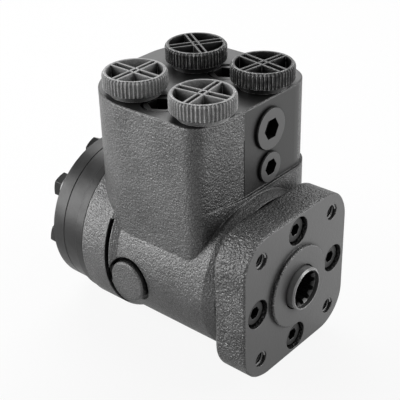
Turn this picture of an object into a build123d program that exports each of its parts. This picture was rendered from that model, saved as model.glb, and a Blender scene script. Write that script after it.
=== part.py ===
from build123d import *
import os
from math import atan2, cos, degrees, hypot, pi, radians, sin, sqrt, tan

# Orbital steering unit: a rotary spool valve and a gerotor meter in one round barrel, with a square
# port block on top. Millimetres. The origin is where the shaft axis meets the machined column face.
# +Y runs along the shaft from the steering column to the end cover, +Z points up to the ports and
# +X to the right as seen from the column.

# ---------------------------------------------------------------- driving dimensions
# Clearances that every fit is worked out from
run_gap = 0.03  # radial running clearance of valve, pin and bushes
thread_gap = 0.05  # radial clearance that stands for a thread's play
free_gap = 0.3  # clearance between pieces that pass without touching
seal_gap = 0.02  # clearance of a seal in its groove
axial_gap = 0.05  # end play of rotating pieces
bolt_clearance = 0.25  # radial clearance of a bolt in a plain hole
stack_play = 0.2  # end play of the valve set in front of the distributor plate
ball_guide_gap = 0.15  # radial clearance of a valve ball in its guide bore
past = 1.0  # how far a cut or a joined piece runs past the face it meets

# Front cover, the column interface
cover_width = 84.8
cover_height = 82.8
cover_corner_r = 19.4
cover_thickness = 19.5
cover_front_edge = 0.8
cover_back_edge = 3.0
column_pcd = 82.5
column_tap_r = 4.25
column_tap_depth = 17.0
column_sink = 0.2
pilot_r = 22.2
pilot_height = 2.2
pilot_edge = 0.5
cover_bore_gap = 0.7

# Cover screws, M8 socket heads
cover_screw_pcd = 63.8
cover_screw_count = 4
m8_r = 4.0
socket_head_r = 6.5
socket_head_h = 8.0
socket_head_af = 6.0
socket_head_hex_depth = 4.0
counterbore_r = 7.67
head_sink = 2.0
socket_head_edge = 0.4
cover_screw_grip = 13.0

# Seals in the cover
dust_seal_r = 15.5
dust_seal_start = 1.6
dust_seal_width = 4.0
shaft_seal_r = 16.5
shaft_seal_start = 9.0
shaft_seal_width = 4.0
seal_lip_r = 1.4
face_ring_r = 25.5
face_ring_cord = 1.4

# Thrust bearing behind the cover
race_r = 22.4
race_bore_gap = 0.6
outer_race_t = 2.5
inner_race_t = 2.0
needle_r = 0.97
needle_length = 6.0
needle_count = 24
needle_circle_r = 17.5
cage_t = 1.4
cage_wall = 1.2
bearing_pocket_r = 23.5
bearing_pocket_depth = 19.5

# Valve set
sleeve_r = 19.0
spool_r = 15.0
neck_r = 11.5
neck_reach = 6.4
neck_edge = 0.8
spool_bore_r = 10.8
spool_rear_setback = 4.0
spline_teeth = 12
spline_minor_r = 8.75
spline_major_r = 10.2
spline_depth = 26.0
spline_space_inner = 2.7
spline_space_outer = 1.9
spline_lead_in = 1.3
spline_mouth_depth = 2.4
spline_mouth_gap = 0.1
spline_cut_share = 0.8
spool_lost_motion = 8.0
spring_y = 34.0
leaf_width = 5.0
leaf_t = 0.5
leaf_rise = 1.6
leaf_lift = 0.9
leaf_spacing = 0.6
slot_side_gap = 0.3
slot_end_gap = 0.3
retainer_wall = 3.7
retainer_width = 7.0
retainer_gap = 0.1
pin_y = 50.0
pin_r = 3.5
pin_setback = 0.3
gallery_stations = (58.0, 67.0, 80.0, 90.0)
gallery_width = 5.0
gallery_depth = 3.0
port_hole_r = 1.4
port_hole_count = 12
spool_groove_count = 6
spool_groove_r = 1.6

# Housing
barrel_r = 43.4
barrel_front_r = 41.0
barrel_ramp_end = 26.0
barrel_end = 108.6
rear_flange_r = 46.0
rear_flange_start = 90.0
rear_flange_ramp = 6.0
rear_flange_edge = 0.8
block_left = 39.0
block_right = 51.0
block_front = 27.0
block_rear = 114.5
block_top = 91.0
block_rear_left_r = 36.0
block_rear_right_r = 30.0
block_front_left_r = 9.0
block_front_right_r = 18.5
block_cast_step = 4.6
block_top_edge = 0.6
machined_left = 8.0
ledge_z = 45.0
ledge_step = 1.5
block_underside_right = 26.0
block_underside_slope = 14.0
overhang_gap = 1.8

# Side boss and rear groove on the left
boss_y = 76.0
boss_z = -6.2
boss_r = 11.2
boss_reach = 45.6
boss_moat_r = 13.1
boss_moat_floor = 38.6
boss_edge = 0.8
groove_start = 88.6
groove_width = 2.4
groove_floor_r = 42.6
groove_top = 24.0
groove_bottom = -32.0

# Ports and their thread protection caps
port_x = 22.7
port_front_y = 39.8
port_rear_y = 83.2
port_tap_r = 8.2
port_depth = 14.0
port_sink = 1.0
drilling_r = 3.5
drilling_x = 16.5
drilling_floor = 15.0
drilling_lead = 0.2
cap_rim_r = 16.2
cap_tooth_depth = 0.7
cap_teeth = 52
cap_height = 11.9
cap_rim_h = 8.4
cap_neck_r = 12.8
cap_wall = 1.5
cap_cup_depth = 6.5
cap_rib_t = 1.1
cap_rib_setback = 0.2
cap_rib_spacings = (3.0, 4.2)
cap_stem_h = 5.5
cap_turns = {"left_front": 8.3, "left_rear": 0.0, "right_front": -8.0, "right_rear": 57.7}

# Relief valve behind the large plug
relief_x = 11.1
relief_z = 75.4
relief_head_r = 11.1
relief_head_h = 1.8
plug_edge = 0.45
relief_af = 10.0
relief_hex_depth = 6.0
relief_thread_r = 9.2
relief_thread_h = 11.0
relief_bore_r = 7.0
relief_bore_end = 56.0
relief_seat_t = 3.6
relief_seat_r = 2.5
relief_stem_r = 2.5
relief_stem_length = 13.0
relief_flange_r = 5.2
relief_flange_t = 1.5
relief_wire_r = 0.7
relief_coil_r = 4.2
relief_turns = 5
relief_lift = 1.5
relief_ring_r = 10.2
relief_ring_cord = 1.0

# Check valve behind the small plug
check_x = 10.8
check_z = 54.5
check_head_r = 8.3
check_head_h = 1.8
check_af = 8.0
check_hex_depth = 5.0
check_thread_r = 6.4
check_thread_h = 9.0
check_ball_r = 3.5
check_seat_r = 2.6
check_guide_end = 48.0
check_passage_end = 58.0
check_wire_r = 0.4
check_turns = 5
check_ring_r = 7.4
check_ring_cord = 0.9

# Shock valves between the ports
shock_x = 24.5
shock_y = 64.5
shock_sink_r = 10.2
shock_sink_depth = 2.0
shock_head_r = 9.2
shock_head_h = 1.6
shock_af = 12.0
shock_hex_depth = 6.5
shock_thread_r = 8.0
shock_thread_h = 11.0
shock_ball_r = 3.5
shock_seat_r = 2.6
shock_seat_z = 66.0
shock_passage_end = 56.0
shock_wire_r = 0.4
shock_turns = 5

# Inlet check valve and suction valves in the housing's rear face
rear_valve_r = 31.0
inlet_valve_angle = 64.3
inlet_valve_r = 4.0
inlet_lift = 1.85
inlet_seat_r = 2.2
inlet_ball_r = 3.2
bushing_h = 6.0
bushing_af = 4.0
bushing_setback = 0.2
suction_angles = (12.9, 167.1)
suction_valve_r = 2.9
suction_seat_y = 96.0
suction_seat_r = 1.8
suction_ball_r = 2.5
suction_lift = 1.0
suction_pin_r = 1.75
suction_pin_setback = 0.1
rear_passage_start = 88.0

# Meter: distributor plate, gear ring, rotor, end cover
plate_r = 45.2
plate_t = 5.6
plate_edge = 0.4
plate_bore_r = 13.5
kidney_r = 17.8
kidney_width = 4.0
kidney_span = 22.0
stack_r = 43.6
stack_edge = 0.35
gear_t = 10.5
lobes = 7
roll_circle_r = 29.0
roll_r = 9.0
eccentricity = 2.75
rotor_gap = 0.03
rotor_points_per_lobe = 24
tip_gap = 0.1
cover_plate_t = 10.1
cover_plate_edge = 2.0
stack_ring_land = 2.25
stack_ring_cord = 1.2
end_bolt_pcd = 65.0
end_bolt_first = 90.0
end_bolt_af = 13.0
end_bolt_head_h = 6.5
end_bolt_head_edge = 0.6
end_bolt_grip = 12.0
washer_r = 8.25
washer_t = 1.5
hole_run_out = 1.5

# Cardan shaft and its spacer
cardan_head_r = 9.6
cardan_front_reach = 9.0
cardan_head_length = 21.0
cardan_shaft_r = 6.5
cardan_fork_gap = 0.5
cardan_fork_depth = 18.0
cardan_tooth_r = 10.4
cardan_root_r = 8.9
cardan_tooth_length = 8.0
cardan_tooth_root = 2.6
cardan_tooth_tip = 1.6
cardan_spline_gap = 0.35
cardan_end_gap = 0.3
spacer_r = 8.4
spacer_t = 2.2
spacer_end_gap = 0.1

# ---------------------------------------------------------------- places that follow from them
race_start = cover_thickness
cage_start = race_start + outer_race_t
needle_y = cage_start + run_gap + needle_r
inner_race_start = needle_y + needle_r + run_gap
sleeve_start = inner_race_start + inner_race_t
sleeve_end = barrel_end - stack_play
spool_end = sleeve_end - spool_rear_setback
sleeve_bore_r = spool_r + run_gap
housing_bore_r = sleeve_r + run_gap
plate_start = barrel_end
gear_start = plate_start + plate_t
end_cover_start = gear_start + gear_t
end_cover_face = end_cover_start + cover_plate_t
gear_middle = gear_start + gear_t / 2
stack_ring_r = end_bolt_pcd / 2 + m8_r + bolt_clearance + stack_ring_land + stack_ring_cord / 2
inlet_bushing_start = barrel_end - bushing_setback - bushing_h
inlet_ball_y = inlet_bushing_start - inlet_lift - inlet_ball_r
inlet_seat_y = inlet_ball_y - sqrt(inlet_ball_r**2 - inlet_seat_r**2) - run_gap
spacer_end = end_cover_start - spacer_end_gap
spacer_start = spacer_end - spacer_t
slot_height = 2 * (leaf_lift + leaf_rise + leaf_spacing + leaf_t / 2 + slot_side_gap)
cardan_tilt = degrees(atan2(eccentricity, gear_middle - pin_y))


# ---------------------------------------------------------------- shape helpers
def cylinder_y(radius, start, end, x=0.0, z=0.0):
    """Cylinder along Y from start to end."""
    return Pos(x, (start + end) / 2, z) * Rot(90, 0, 0) * Cylinder(radius, end - start)


def cylinder_z(radius, bottom, top, x=0.0, y=0.0):
    """Cylinder along Z from bottom to top."""
    return Pos(x, y, (bottom + top) / 2) * Cylinder(radius, top - bottom)


def cylinder_x(radius, left, right, y=0.0, z=0.0):
    """Cylinder along X from left to right."""
    return Pos((left + right) / 2, y, z) * Rot(0, 90, 0) * Cylinder(radius, right - left)


def ring_y(outer, inner, start, end, x=0.0, z=0.0):
    """Plain ring around a line along Y."""
    return cylinder_y(outer, start, end, x, z) - cylinder_y(inner, start - past, end + past, x, z)


def cone_y(radius_start, radius_end, start, end, x=0.0, z=0.0):
    """Cone along Y whose radius runs from radius_start at start to radius_end at end."""
    return Pos(x, (start + end) / 2, z) * Rot(90, 0, 0) * Cone(radius_end, radius_start, end - start)


def section_y(sketch, start, end):
    """Sketch drawn as (x, z) and extruded along Y from start to end."""
    plane = Plane(origin=(0, end, 0), x_dir=(1, 0, 0), z_dir=(0, -1, 0))
    return extrude(plane * sketch, end - start)


def section_z(sketch, bottom, top):
    """Sketch drawn as (x, y) and extruded along Z from bottom to top."""
    return extrude(Plane.XY.offset(bottom) * sketch, top - bottom)


def hexagon(across_flats, turn=0.0):
    """Regular hexagon with a given width across its flats."""
    return Rot(0, 0, turn) * RegularPolygon(across_flats / 2, 6, major_radius=False)


def drilling(begin, finish, radius):
    """Straight cylinder between two points."""
    line = Vector(*finish) - Vector(*begin)
    return Plane(origin=begin, z_dir=line) * Pos(0, 0, line.length / 2) * Cylinder(radius, line.length)


def o_ring(circle_r, cord, y, x=0.0, z=0.0):
    """O-ring that lies in a groove as deep as its cord, around a line along Y."""
    return Pos(x, y, z) * Rot(90, 0, 0) * Torus(circle_r, cord / 2 - seal_gap)


def ring_groove(circle_r, cord, face_y, inward, x=0.0, z=0.0):
    """Square groove for an O-ring, cut from a face at face_y; inward is +1 or -1 along Y."""
    start, end = sorted((face_y, face_y + inward * cord))
    return ring_y(circle_r + cord / 2, circle_r - cord / 2, start, end, x, z)


def coil(radius, wire_r, length, turns):
    """Compression spring that stands on the XY plane, around Z."""
    height = length - 2 * wire_r
    path = Helix(pitch=height / turns, height=height, radius=radius)
    section = Plane(origin=path @ 0, z_dir=path % 0) * Circle(wire_r)
    return Pos(0, 0, wire_r) * sweep(section, path=path, is_frenet=True)


def spin_y(shape, angle, x=0.0, z=0.0):
    """Shape turned by angle degrees about a line along Y, from +X towards +Z."""
    return Pos(x, 0, z) * Rot(0, -angle, 0) * Pos(-x, 0, -z) * shape


def around_y(shape, count, first=0.0):
    """Copies of a shape, evenly spaced around the shaft axis."""
    return [spin_y(shape, first + 360 * index / count) for index in range(count)]


def cut_all(solid, tools):
    """Solid with every tool cut out of it."""
    return solid.cut(*[piece for tool in tools for piece in tool.solids()])


def spring_seat_distance(ball_r, coil_r, wire_r):
    """Distance from a ball's centre to the end of a coil that lies just clear of it."""
    return sqrt(ball_r**2 - (coil_r - wire_r) ** 2) + seal_gap


def ball_seat_distance(ball_r, seat_r):
    """Distance from a seat's edge to the centre of a ball that lies just clear of it."""
    return sqrt(ball_r**2 - seat_r**2) + run_gap


# ---------------------------------------------------------------- front cover group
def column_points():
    """Centres of the four column bolt holes, as (x, z)."""
    reach = column_pcd / 2 / sqrt(2)
    return [(x * reach, z * reach) for x in (-1, 1) for z in (-1, 1)]


def cover_screw_points():
    """Centres of the cover screws, as (x, z)."""
    radius = cover_screw_pcd / 2
    steps = [2 * pi * index / cover_screw_count for index in range(cover_screw_count)]
    return [(radius * cos(step), radius * sin(step)) for step in steps]


def make_front_cover():
    """Square cast cover with pilot, column threads, screw counterbores and seal grooves."""
    outline = RectangleRounded(cover_width, cover_height, cover_corner_r)
    plate = section_y(outline, 0, cover_thickness)
    plate = fillet(plate.faces().sort_by(Axis.Y)[-1].edges(), cover_back_edge)
    plate = chamfer(plate.faces().sort_by(Axis.Y)[0].edges(), cover_front_edge)
    pilot = cylinder_y(pilot_r, -pilot_height, cover_front_edge)
    plate = plate + chamfer(pilot.faces().sort_by(Axis.Y)[0].edges(), pilot_edge)
    cuts = [
        cylinder_y(neck_r + cover_bore_gap, -pilot_height - past, cover_thickness + past),
        cylinder_y(dust_seal_r, dust_seal_start, dust_seal_start + dust_seal_width),
        cylinder_y(shaft_seal_r, shaft_seal_start, shaft_seal_start + shaft_seal_width),
        ring_groove(face_ring_r, face_ring_cord, cover_thickness, -1),
    ]
    for x, z in column_points():
        cuts.append(cylinder_y(column_tap_r, -1, column_tap_depth, x, z))
        cuts.append(cone_y(column_tap_r + column_sink, column_tap_r, 0, column_sink, x, z))
    for x, z in cover_screw_points():
        cuts.append(cylinder_y(m8_r + bolt_clearance, 0, cover_thickness + past, x, z))
        cuts.append(cylinder_y(counterbore_r, -1, head_sink + socket_head_h, x, z))
    return cut_all(plate, cuts)


def make_cover_screw(x, z):
    """M8 socket head cap screw, its head sunk just below the column face."""
    seat = head_sink + socket_head_h
    head = cylinder_y(socket_head_r, head_sink, seat, x, z)
    head = chamfer(head.faces().sort_by(Axis.Y)[0].edges(), socket_head_edge)
    shank = cylinder_y(m8_r - thread_gap, seat - past, cover_thickness + cover_screw_grip, x, z)
    key = Pos(x, z) * hexagon(socket_head_af)
    socket = section_y(key, head_sink - past, head_sink + socket_head_hex_depth)
    return head + shank - socket


def make_neck_seal(outer_r, start, width):
    """Rubber ring in a cover groove with a rounded lip that rides on the spool's neck."""
    inner = neck_r + run_gap
    ring = ring_y(outer_r - seal_gap, inner, start + seal_gap, start + width - seal_gap)
    lip_edges = ring.edges().filter_by(GeomType.CIRCLE).sort_by(SortBy.RADIUS)[:2]
    return chamfer(lip_edges, seal_lip_r)


def make_thrust_cage():
    """Thin cage with one pocket for each needle."""
    outer = needle_circle_r + needle_length / 2 + cage_wall
    inner = needle_circle_r - needle_length / 2 - cage_wall
    cage = ring_y(outer, inner, needle_y - cage_t / 2, needle_y + cage_t / 2)
    pocket = Box(needle_length + 2 * run_gap, 2 * cage_t, 2 * (needle_r + run_gap))
    pocket = Pos(needle_circle_r, needle_y, 0) * pocket
    return cut_all(cage, around_y(pocket, needle_count))


def make_thrust_needles():
    """Radial needles of the thrust bearing."""
    inner = needle_circle_r - needle_length / 2
    needle = cylinder_x(needle_r, inner, inner + needle_length, needle_y, 0)
    return around_y(needle, needle_count)


# ---------------------------------------------------------------- housing casting
def block_outline(front, front_cast):
    """Port block seen from above; front is the machined face, front_cast the corner of the cast slope."""
    points = [
        (-machined_left, front),
        (block_right, front),
        (block_right, block_rear),
        (-block_left, block_rear),
        (-block_left, front_cast),
    ]
    radii = [0.0, block_front_right_r, block_rear_right_r, block_rear_left_r, block_front_left_r]
    return make_face(FilletPolyline(*points, radius=radii, close=True))


def make_block():
    """Port block with its cast ledge, cut off obliquely under its right side."""
    front_cast = block_front + block_cast_step
    upper = section_z(block_outline(block_front, front_cast), 0, block_top)
    upper = chamfer(upper.faces().sort_by(Axis.Z)[-1].edges(), block_top_edge)
    lower = section_z(block_outline(block_front - ledge_step, front_cast), 0, ledge_z)
    inner_right = block_right - (block_underside_right - block_underside_slope)
    profile = Polyline(
        (-block_left - past, 0),
        (-block_left - past, block_top + past),
        (block_right + past, block_top + past),
        (block_right + past, block_underside_right + past),
        (inner_right, block_underside_slope),
        (inner_right - block_underside_slope, 0),
        close=True,
    )
    mould = section_y(make_face(profile), block_front - ledge_step - past, block_rear + past)
    return (upper + lower) & mould


def make_side_boss():
    """Blank boss on the left of the barrel and the moat around it."""
    moat = cylinder_x(boss_moat_r, -boss_reach - past, -boss_moat_floor, boss_y, boss_z)
    boss = cylinder_x(boss_r, -boss_reach, -boss_moat_floor + past, boss_y, boss_z)
    return moat, chamfer(boss.faces().sort_by(Axis.X)[0].edges(), boss_edge)


def make_rear_groove():
    """Cast groove on the left of the barrel, in front of the rear flange."""
    groove = ring_y(rear_flange_r + past, groove_floor_r, groove_start, groove_start + groove_width)
    height = groove_top - groove_bottom
    sector = Pos(-rear_flange_r, groove_start, (groove_top + groove_bottom) / 2)
    return groove & sector * Box(2 * rear_flange_r, 4 * groove_width, height)


def port_places():
    """Name and centre of each port, as (name, x, y)."""
    return [
        ("left_front", -port_x, port_front_y),
        ("right_front", port_x, port_front_y),
        ("left_rear", -port_x, port_rear_y),
        ("right_rear", port_x, port_rear_y),
    ]


def port_cuts():
    """Tapped port holes and the drillings from them to the galleries of the bore."""
    cuts = []
    floor = block_top - port_depth
    for (_, x, y), gallery in zip(port_places(), gallery_stations):
        side = 1 if x > 0 else -1
        cuts.append(cylinder_z(port_tap_r, floor, block_top + past, x, y))
        sink = Cone(port_tap_r, port_tap_r + port_sink, port_sink)
        cuts.append(Pos(x, y, block_top - port_sink / 2) * sink)
        begin = (x, y + (gallery - y) * drilling_lead, floor + past)
        finish = (side * drilling_x, gallery, drilling_floor)
        cuts.append(drilling(begin, finish, drilling_r))
    return cuts


def bore_cuts():
    """Valve bore with its galleries and the wide pocket for bearing and springs."""
    cuts = [
        cylinder_y(housing_bore_r, cover_thickness - past, barrel_end + past),
        cylinder_y(bearing_pocket_r, cover_thickness - past, cover_thickness + bearing_pocket_depth),
        ring_groove(stack_ring_r, stack_ring_cord, barrel_end, -1),
    ]
    for station in gallery_stations:
        edge = gallery_width / 2
        cuts.append(cylinder_y(housing_bore_r + gallery_depth, station - edge, station + edge))
    return cuts


def front_valve_cuts():
    """Cavities behind the two plugs on the front of the block."""
    start = block_front - ledge_step - past
    relief_shoulder = block_front + relief_thread_h + thread_gap
    check_shoulder = block_front + check_thread_h + thread_gap
    return [
        cylinder_y(relief_thread_r, start, relief_shoulder + past, relief_x, relief_z),
        ring_groove(relief_ring_r, relief_ring_cord, block_front, 1, relief_x, relief_z),
        cylinder_y(relief_bore_r, relief_shoulder, relief_bore_end, relief_x, relief_z),
        cylinder_y(check_thread_r, start, check_shoulder + past, check_x, check_z),
        ring_groove(check_ring_r, check_ring_cord, block_front, 1, check_x, check_z),
        cylinder_y(check_ball_r + ball_guide_gap, check_shoulder, check_guide_end, check_x, check_z),
        cylinder_y(check_seat_r, check_guide_end - past, check_passage_end, check_x, check_z),
    ]


def shock_valve_cuts(side):
    """Stepped hole of one shock valve in the top face; side is -1 for left and 1 for right."""
    x = side * shock_x
    shoulder = block_top - shock_sink_depth - shock_thread_h - thread_gap
    return [
        cylinder_z(shock_sink_r, block_top - shock_sink_depth, block_top + past, x, shock_y),
        cylinder_z(shock_thread_r, shoulder, block_top, x, shock_y),
        cylinder_z(shock_ball_r + ball_guide_gap, shock_seat_z, shoulder + past, x, shock_y),
        cylinder_z(shock_seat_r, shock_passage_end, shock_seat_z + past, x, shock_y),
    ]


def rear_point(angle, radius=rear_valve_r):
    """Point on a circle about the shaft axis, as (x, z)."""
    return radius * cos(radians(angle)), radius * sin(radians(angle))


def rear_face_cuts():
    """Valve holes and bolt threads in the rear face."""
    x, z = rear_point(inlet_valve_angle)
    cuts = [
        cylinder_y(inlet_valve_r, inlet_seat_y, barrel_end + past, x, z),
        cylinder_y(inlet_seat_r, rear_passage_start, inlet_seat_y + past, x, z),
    ]
    for angle in suction_angles:
        x, z = rear_point(angle)
        cuts.append(cylinder_y(suction_valve_r, suction_seat_y, barrel_end + past, x, z))
        cuts.append(cylinder_y(suction_seat_r, rear_passage_start, suction_seat_y + past, x, z))
    thread = cylinder_y(m8_r, barrel_end - end_bolt_grip - hole_run_out, barrel_end + past, end_bolt_pcd / 2)
    cuts += around_y(thread, lobes, end_bolt_first)
    return cuts


def make_housing():
    """The grey-iron casting with every bore and hole."""
    ramp_start = rear_flange_start - rear_flange_ramp
    barrel = cylinder_y(barrel_r, barrel_ramp_end, rear_flange_start)
    barrel = barrel + cone_y(barrel_front_r, barrel_r, cover_thickness, barrel_ramp_end)
    ramp = cone_y(barrel_r, rear_flange_r, ramp_start, rear_flange_start)
    flange = cylinder_y(rear_flange_r, rear_flange_start, barrel_end - rear_flange_edge)
    rim = cone_y(rear_flange_r, rear_flange_r - rear_flange_edge, barrel_end - rear_flange_edge, barrel_end)
    moat, boss = make_side_boss()
    overhang = cylinder_y(plate_r + overhang_gap, barrel_end, block_rear + past)
    casting = barrel + ramp + flange + rim + make_block()
    casting = cut_all(casting, [moat, make_rear_groove(), overhang])
    casting = casting + boss
    cuts = bore_cuts() + port_cuts() + front_valve_cuts() + rear_face_cuts()
    cuts += shock_valve_cuts(-1) + shock_valve_cuts(1)
    thread_end = cover_thickness + cover_screw_grip + hole_run_out
    cuts += [cylinder_y(m8_r, cover_thickness - past, thread_end, x, z) for x, z in cover_screw_points()]
    return cut_all(casting, cuts)


# ---------------------------------------------------------------- valve set
def spline_spaces(inner_r, outer_r, inner_width, outer_width, start, end, first=0.0):
    """Tapered tooth spaces between two radii, all around the shaft axis."""
    points = [
        (inner_r * spline_cut_share, -inner_width / 2),
        (inner_r, -inner_width / 2),
        (outer_r, -outer_width / 2),
        (outer_r, outer_width / 2),
        (inner_r, inner_width / 2),
        (inner_r * spline_cut_share, inner_width / 2),
    ]
    space = section_y(make_face(Polyline(*points, close=True)), start, end)
    return around_y(space, spline_teeth, first)


def make_spool():
    """Inner valve spool with the splined neck that takes the steering column."""
    neck = cylinder_y(neck_r, -neck_reach, sleeve_start + past)
    neck = chamfer(neck.faces().sort_by(Axis.Y)[0].edges(), neck_edge)
    spool = neck + cylinder_y(spool_r, sleeve_start + axial_gap, spool_end)
    tooth_end = spline_depth - neck_reach
    mouth_end = -neck_reach + spline_mouth_depth
    lead_r = spline_minor_r + spline_lead_in
    lead_in = cone_y(lead_r, spline_minor_r, mouth_end, mouth_end + spline_lead_in)
    cuts = [
        cylinder_y(spline_minor_r, -neck_reach - past, tooth_end + past),
        cylinder_y(spool_bore_r, tooth_end, spool_end + past),
        cylinder_y(spline_major_r + spline_mouth_gap, -neck_reach - past, mouth_end),
        lead_in,
        spring_slot(spool_r + past),
        cylinder_x(spool_pin_hole_r(), -spool_r - past, spool_r + past, pin_y, 0),
    ]
    cuts += spline_spaces(
        spline_minor_r, spline_major_r, spline_space_inner, spline_space_outer, -neck_reach - past, tooth_end
    )
    groove_start = gallery_stations[0] - gallery_width / 2
    groove_end = gallery_stations[-1] + gallery_width / 2
    groove = cylinder_y(spool_groove_r, groove_start, groove_end, spool_r, 0)
    cuts += around_y(groove, spool_groove_count, 180 / spool_groove_count)
    return cut_all(spool, cuts)


def spool_pin_hole_r():
    """Hole that lets the spool turn both ways by its lost motion before it meets the pin."""
    return pin_r + spool_r * sin(radians(spool_lost_motion)) + free_gap


def spring_slot(reach):
    """Slot across the valve set for the pack of leaf springs."""
    return Pos(0, spring_y, 0) * Box(2 * reach, leaf_width + 2 * slot_end_gap, slot_height)


def make_sleeve():
    """Follow-up sleeve around the spool."""
    tube = ring_y(sleeve_r, sleeve_bore_r, sleeve_start, sleeve_end)
    cuts = [
        spring_slot(sleeve_r + past),
        cylinder_x(pin_r + run_gap, -sleeve_r - past, sleeve_r + past, pin_y, 0),
    ]
    for station in gallery_stations:
        hole = cylinder_x(port_hole_r, spool_r - past, sleeve_r + past, station, 0)
        cuts += around_y(hole, port_hole_count)
    return cut_all(tube, cuts)


def make_leaf(lift, rise):
    """One leaf spring: its middle lies at lift and its ends at lift + rise."""
    reach = sleeve_r - slot_end_gap
    if rise == 0:
        return Pos(0, spring_y, lift) * Box(2 * reach, leaf_width, leaf_t)
    half = leaf_t / 2 if rise > 0 else -leaf_t / 2
    outer = ThreePointArc((-reach, lift + rise + half), (0, lift + half), (reach, lift + rise + half))
    inner = ThreePointArc((-reach, lift + rise - half), (0, lift - half), (reach, lift + rise - half))
    right = Line(outer @ 1, inner @ 1)
    left = Line(inner @ 0, outer @ 0)
    face = make_face([outer, right, inner, left])
    return section_y(face, spring_y - leaf_width / 2, spring_y + leaf_width / 2)


def make_leaf_springs():
    """Pack of two flat leaves between two pairs of bowed ones."""
    flat = leaf_spacing / 2
    leaves = [make_leaf(flat, 0), make_leaf(-flat, 0)]
    for layer in range(2):
        lift = leaf_lift + layer * leaf_spacing
        leaves += [make_leaf(lift, leaf_rise), make_leaf(-lift, -leaf_rise)]
    return leaves


def make_spring_retainer():
    """Ring around the sleeve that keeps the leaf springs in their slots."""
    inner = sleeve_r + retainer_gap
    half = retainer_width / 2
    return ring_y(inner + retainer_wall, inner, spring_y - half, spring_y + half)


def make_cross_pin():
    """Pin that ties the sleeve to the cardan shaft's fork."""
    reach = sleeve_r - pin_setback
    return cylinder_x(pin_r, -reach, reach, pin_y, 0)


# ---------------------------------------------------------------- meter
def cardan_tooth_at(radius):
    """Thickness of the cardan's tapered tooth at a radius."""
    share = (radius - cardan_root_r) / (cardan_tooth_r - cardan_root_r)
    return cardan_tooth_root + share * (cardan_tooth_tip - cardan_tooth_root)


def make_cardan_shaft():
    """Cardan shaft, tilted from the cross pin to the rotor's offset centre."""
    front = -cardan_front_reach
    head_end = front + cardan_head_length
    tilt_reach = cardan_tooth_r * sin(radians(cardan_tilt))
    tooth_end = (spacer_start - cardan_end_gap - tilt_reach - pin_y) / cos(radians(cardan_tilt))
    tooth_start = tooth_end - cardan_tooth_length
    shoulder = cardan_head_r - cardan_shaft_r
    neck = cardan_root_r - cardan_shaft_r
    shaft = cylinder_y(cardan_head_r, front, head_end)
    shaft = shaft + cone_y(cardan_head_r, cardan_shaft_r, head_end, head_end + shoulder)
    shaft = shaft + cylinder_y(cardan_shaft_r, front, tooth_start)
    shaft = shaft + cone_y(cardan_shaft_r, cardan_root_r, tooth_start - neck, tooth_start)
    shaft = shaft + cylinder_y(cardan_tooth_r, tooth_start, tooth_end)
    root_space = 2 * pi * cardan_root_r / spline_teeth - cardan_tooth_root
    mouth_r = cardan_tooth_r + past
    mouth_space = 2 * pi * mouth_r / spline_teeth - cardan_tooth_at(mouth_r)
    tooth = section_y(Circle(mouth_r) - Circle(cardan_root_r), tooth_start - neck, tooth_end + past)
    half_pitch = 180 / spline_teeth
    spaces = spline_spaces(
        cardan_root_r, mouth_r, root_space, mouth_space, tooth_start, tooth_end + past, half_pitch
    )
    spaces = [space & tooth for space in spaces]
    fork_width = 2 * (pin_r + cardan_fork_gap)
    fork = Pos(0, front + cardan_fork_depth / 2 - past, 0)
    fork = fork * Box(2 * cardan_head_r + past, cardan_fork_depth, fork_width)
    shaft = cut_all(shaft, spaces + [fork])
    return Pos(0, pin_y, 0) * Rot(cardan_tilt, 0, 0) * shaft


def rotor_outline():
    """Outline of the six-lobe rotor that runs on the gear ring's seven rolls, centred on its own axis.

    Each point lies one roll radius inside the trochoid that a roll's centre follows:
    x = R cos t - r cos(t + p) - e cos(n t), y = -R sin t + r sin(t + p) + e sin(n t), where
    p = atan2(sin((1 - n) t), R / (e n) - cos((1 - n) t)).
    """
    roll = roll_r + rotor_gap
    count = rotor_points_per_lobe * (lobes - 1)
    points = []
    for index in range(count):
        t = 2 * pi * index / count
        lean = atan2(
            sin((1 - lobes) * t),
            roll_circle_r / (eccentricity * lobes) - cos((1 - lobes) * t),
        )
        x = roll_circle_r * cos(t) - roll * cos(t + lean) - eccentricity * cos(lobes * t)
        y = -roll_circle_r * sin(t) + roll * sin(t + lean) + eccentricity * sin(lobes * t)
        points.append((x, y))
    return make_face(Spline(*points, periodic=True))


def make_rotor():
    """Rotor, offset towards the first roll, with the spline for the cardan shaft."""
    start = gear_start + axial_gap
    end = gear_start + gear_t - axial_gap
    body = section_y(Rot(0, 0, end_bolt_first) * rotor_outline(), start, end)
    bore = cardan_root_r + cardan_spline_gap
    root = cardan_tooth_r + cardan_spline_gap
    bore_space = cardan_tooth_at(bore) + 2 * cardan_spline_gap
    root_space = cardan_tooth_at(root) + 2 * cardan_spline_gap
    cuts = [cylinder_y(bore, start - past, end + past)]
    cuts += spline_spaces(bore, root, bore_space, root_space, start - past, end + past)
    return Pos(0, 0, eccentricity) * cut_all(body, cuts)


def make_gear_ring():
    """Ring with seven fixed convex teeth."""
    disc = cylinder_y(stack_r, gear_start, end_cover_start)
    disc = chamfer(disc.edges().filter_by(GeomType.CIRCLE), stack_edge)
    tip_circle_r = roll_circle_r - roll_r + 2 * eccentricity
    pocket = cylinder_y(tip_circle_r + tip_gap, gear_start - past, end_cover_start + past)
    roll = cylinder_y(roll_r, gear_start - past, end_cover_start + past, roll_circle_r)
    void = cut_all(pocket, around_y(roll, lobes, end_bolt_first))
    return cut_all(disc, [void] + end_bolt_holes(gear_start, end_cover_start))


def end_bolt_holes(start, end):
    """Plain holes for the end bolts through one disc of the stack."""
    hole = cylinder_y(m8_r + bolt_clearance, start - past, end + past, end_bolt_pcd / 2)
    return around_y(hole, lobes, end_bolt_first)


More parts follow.
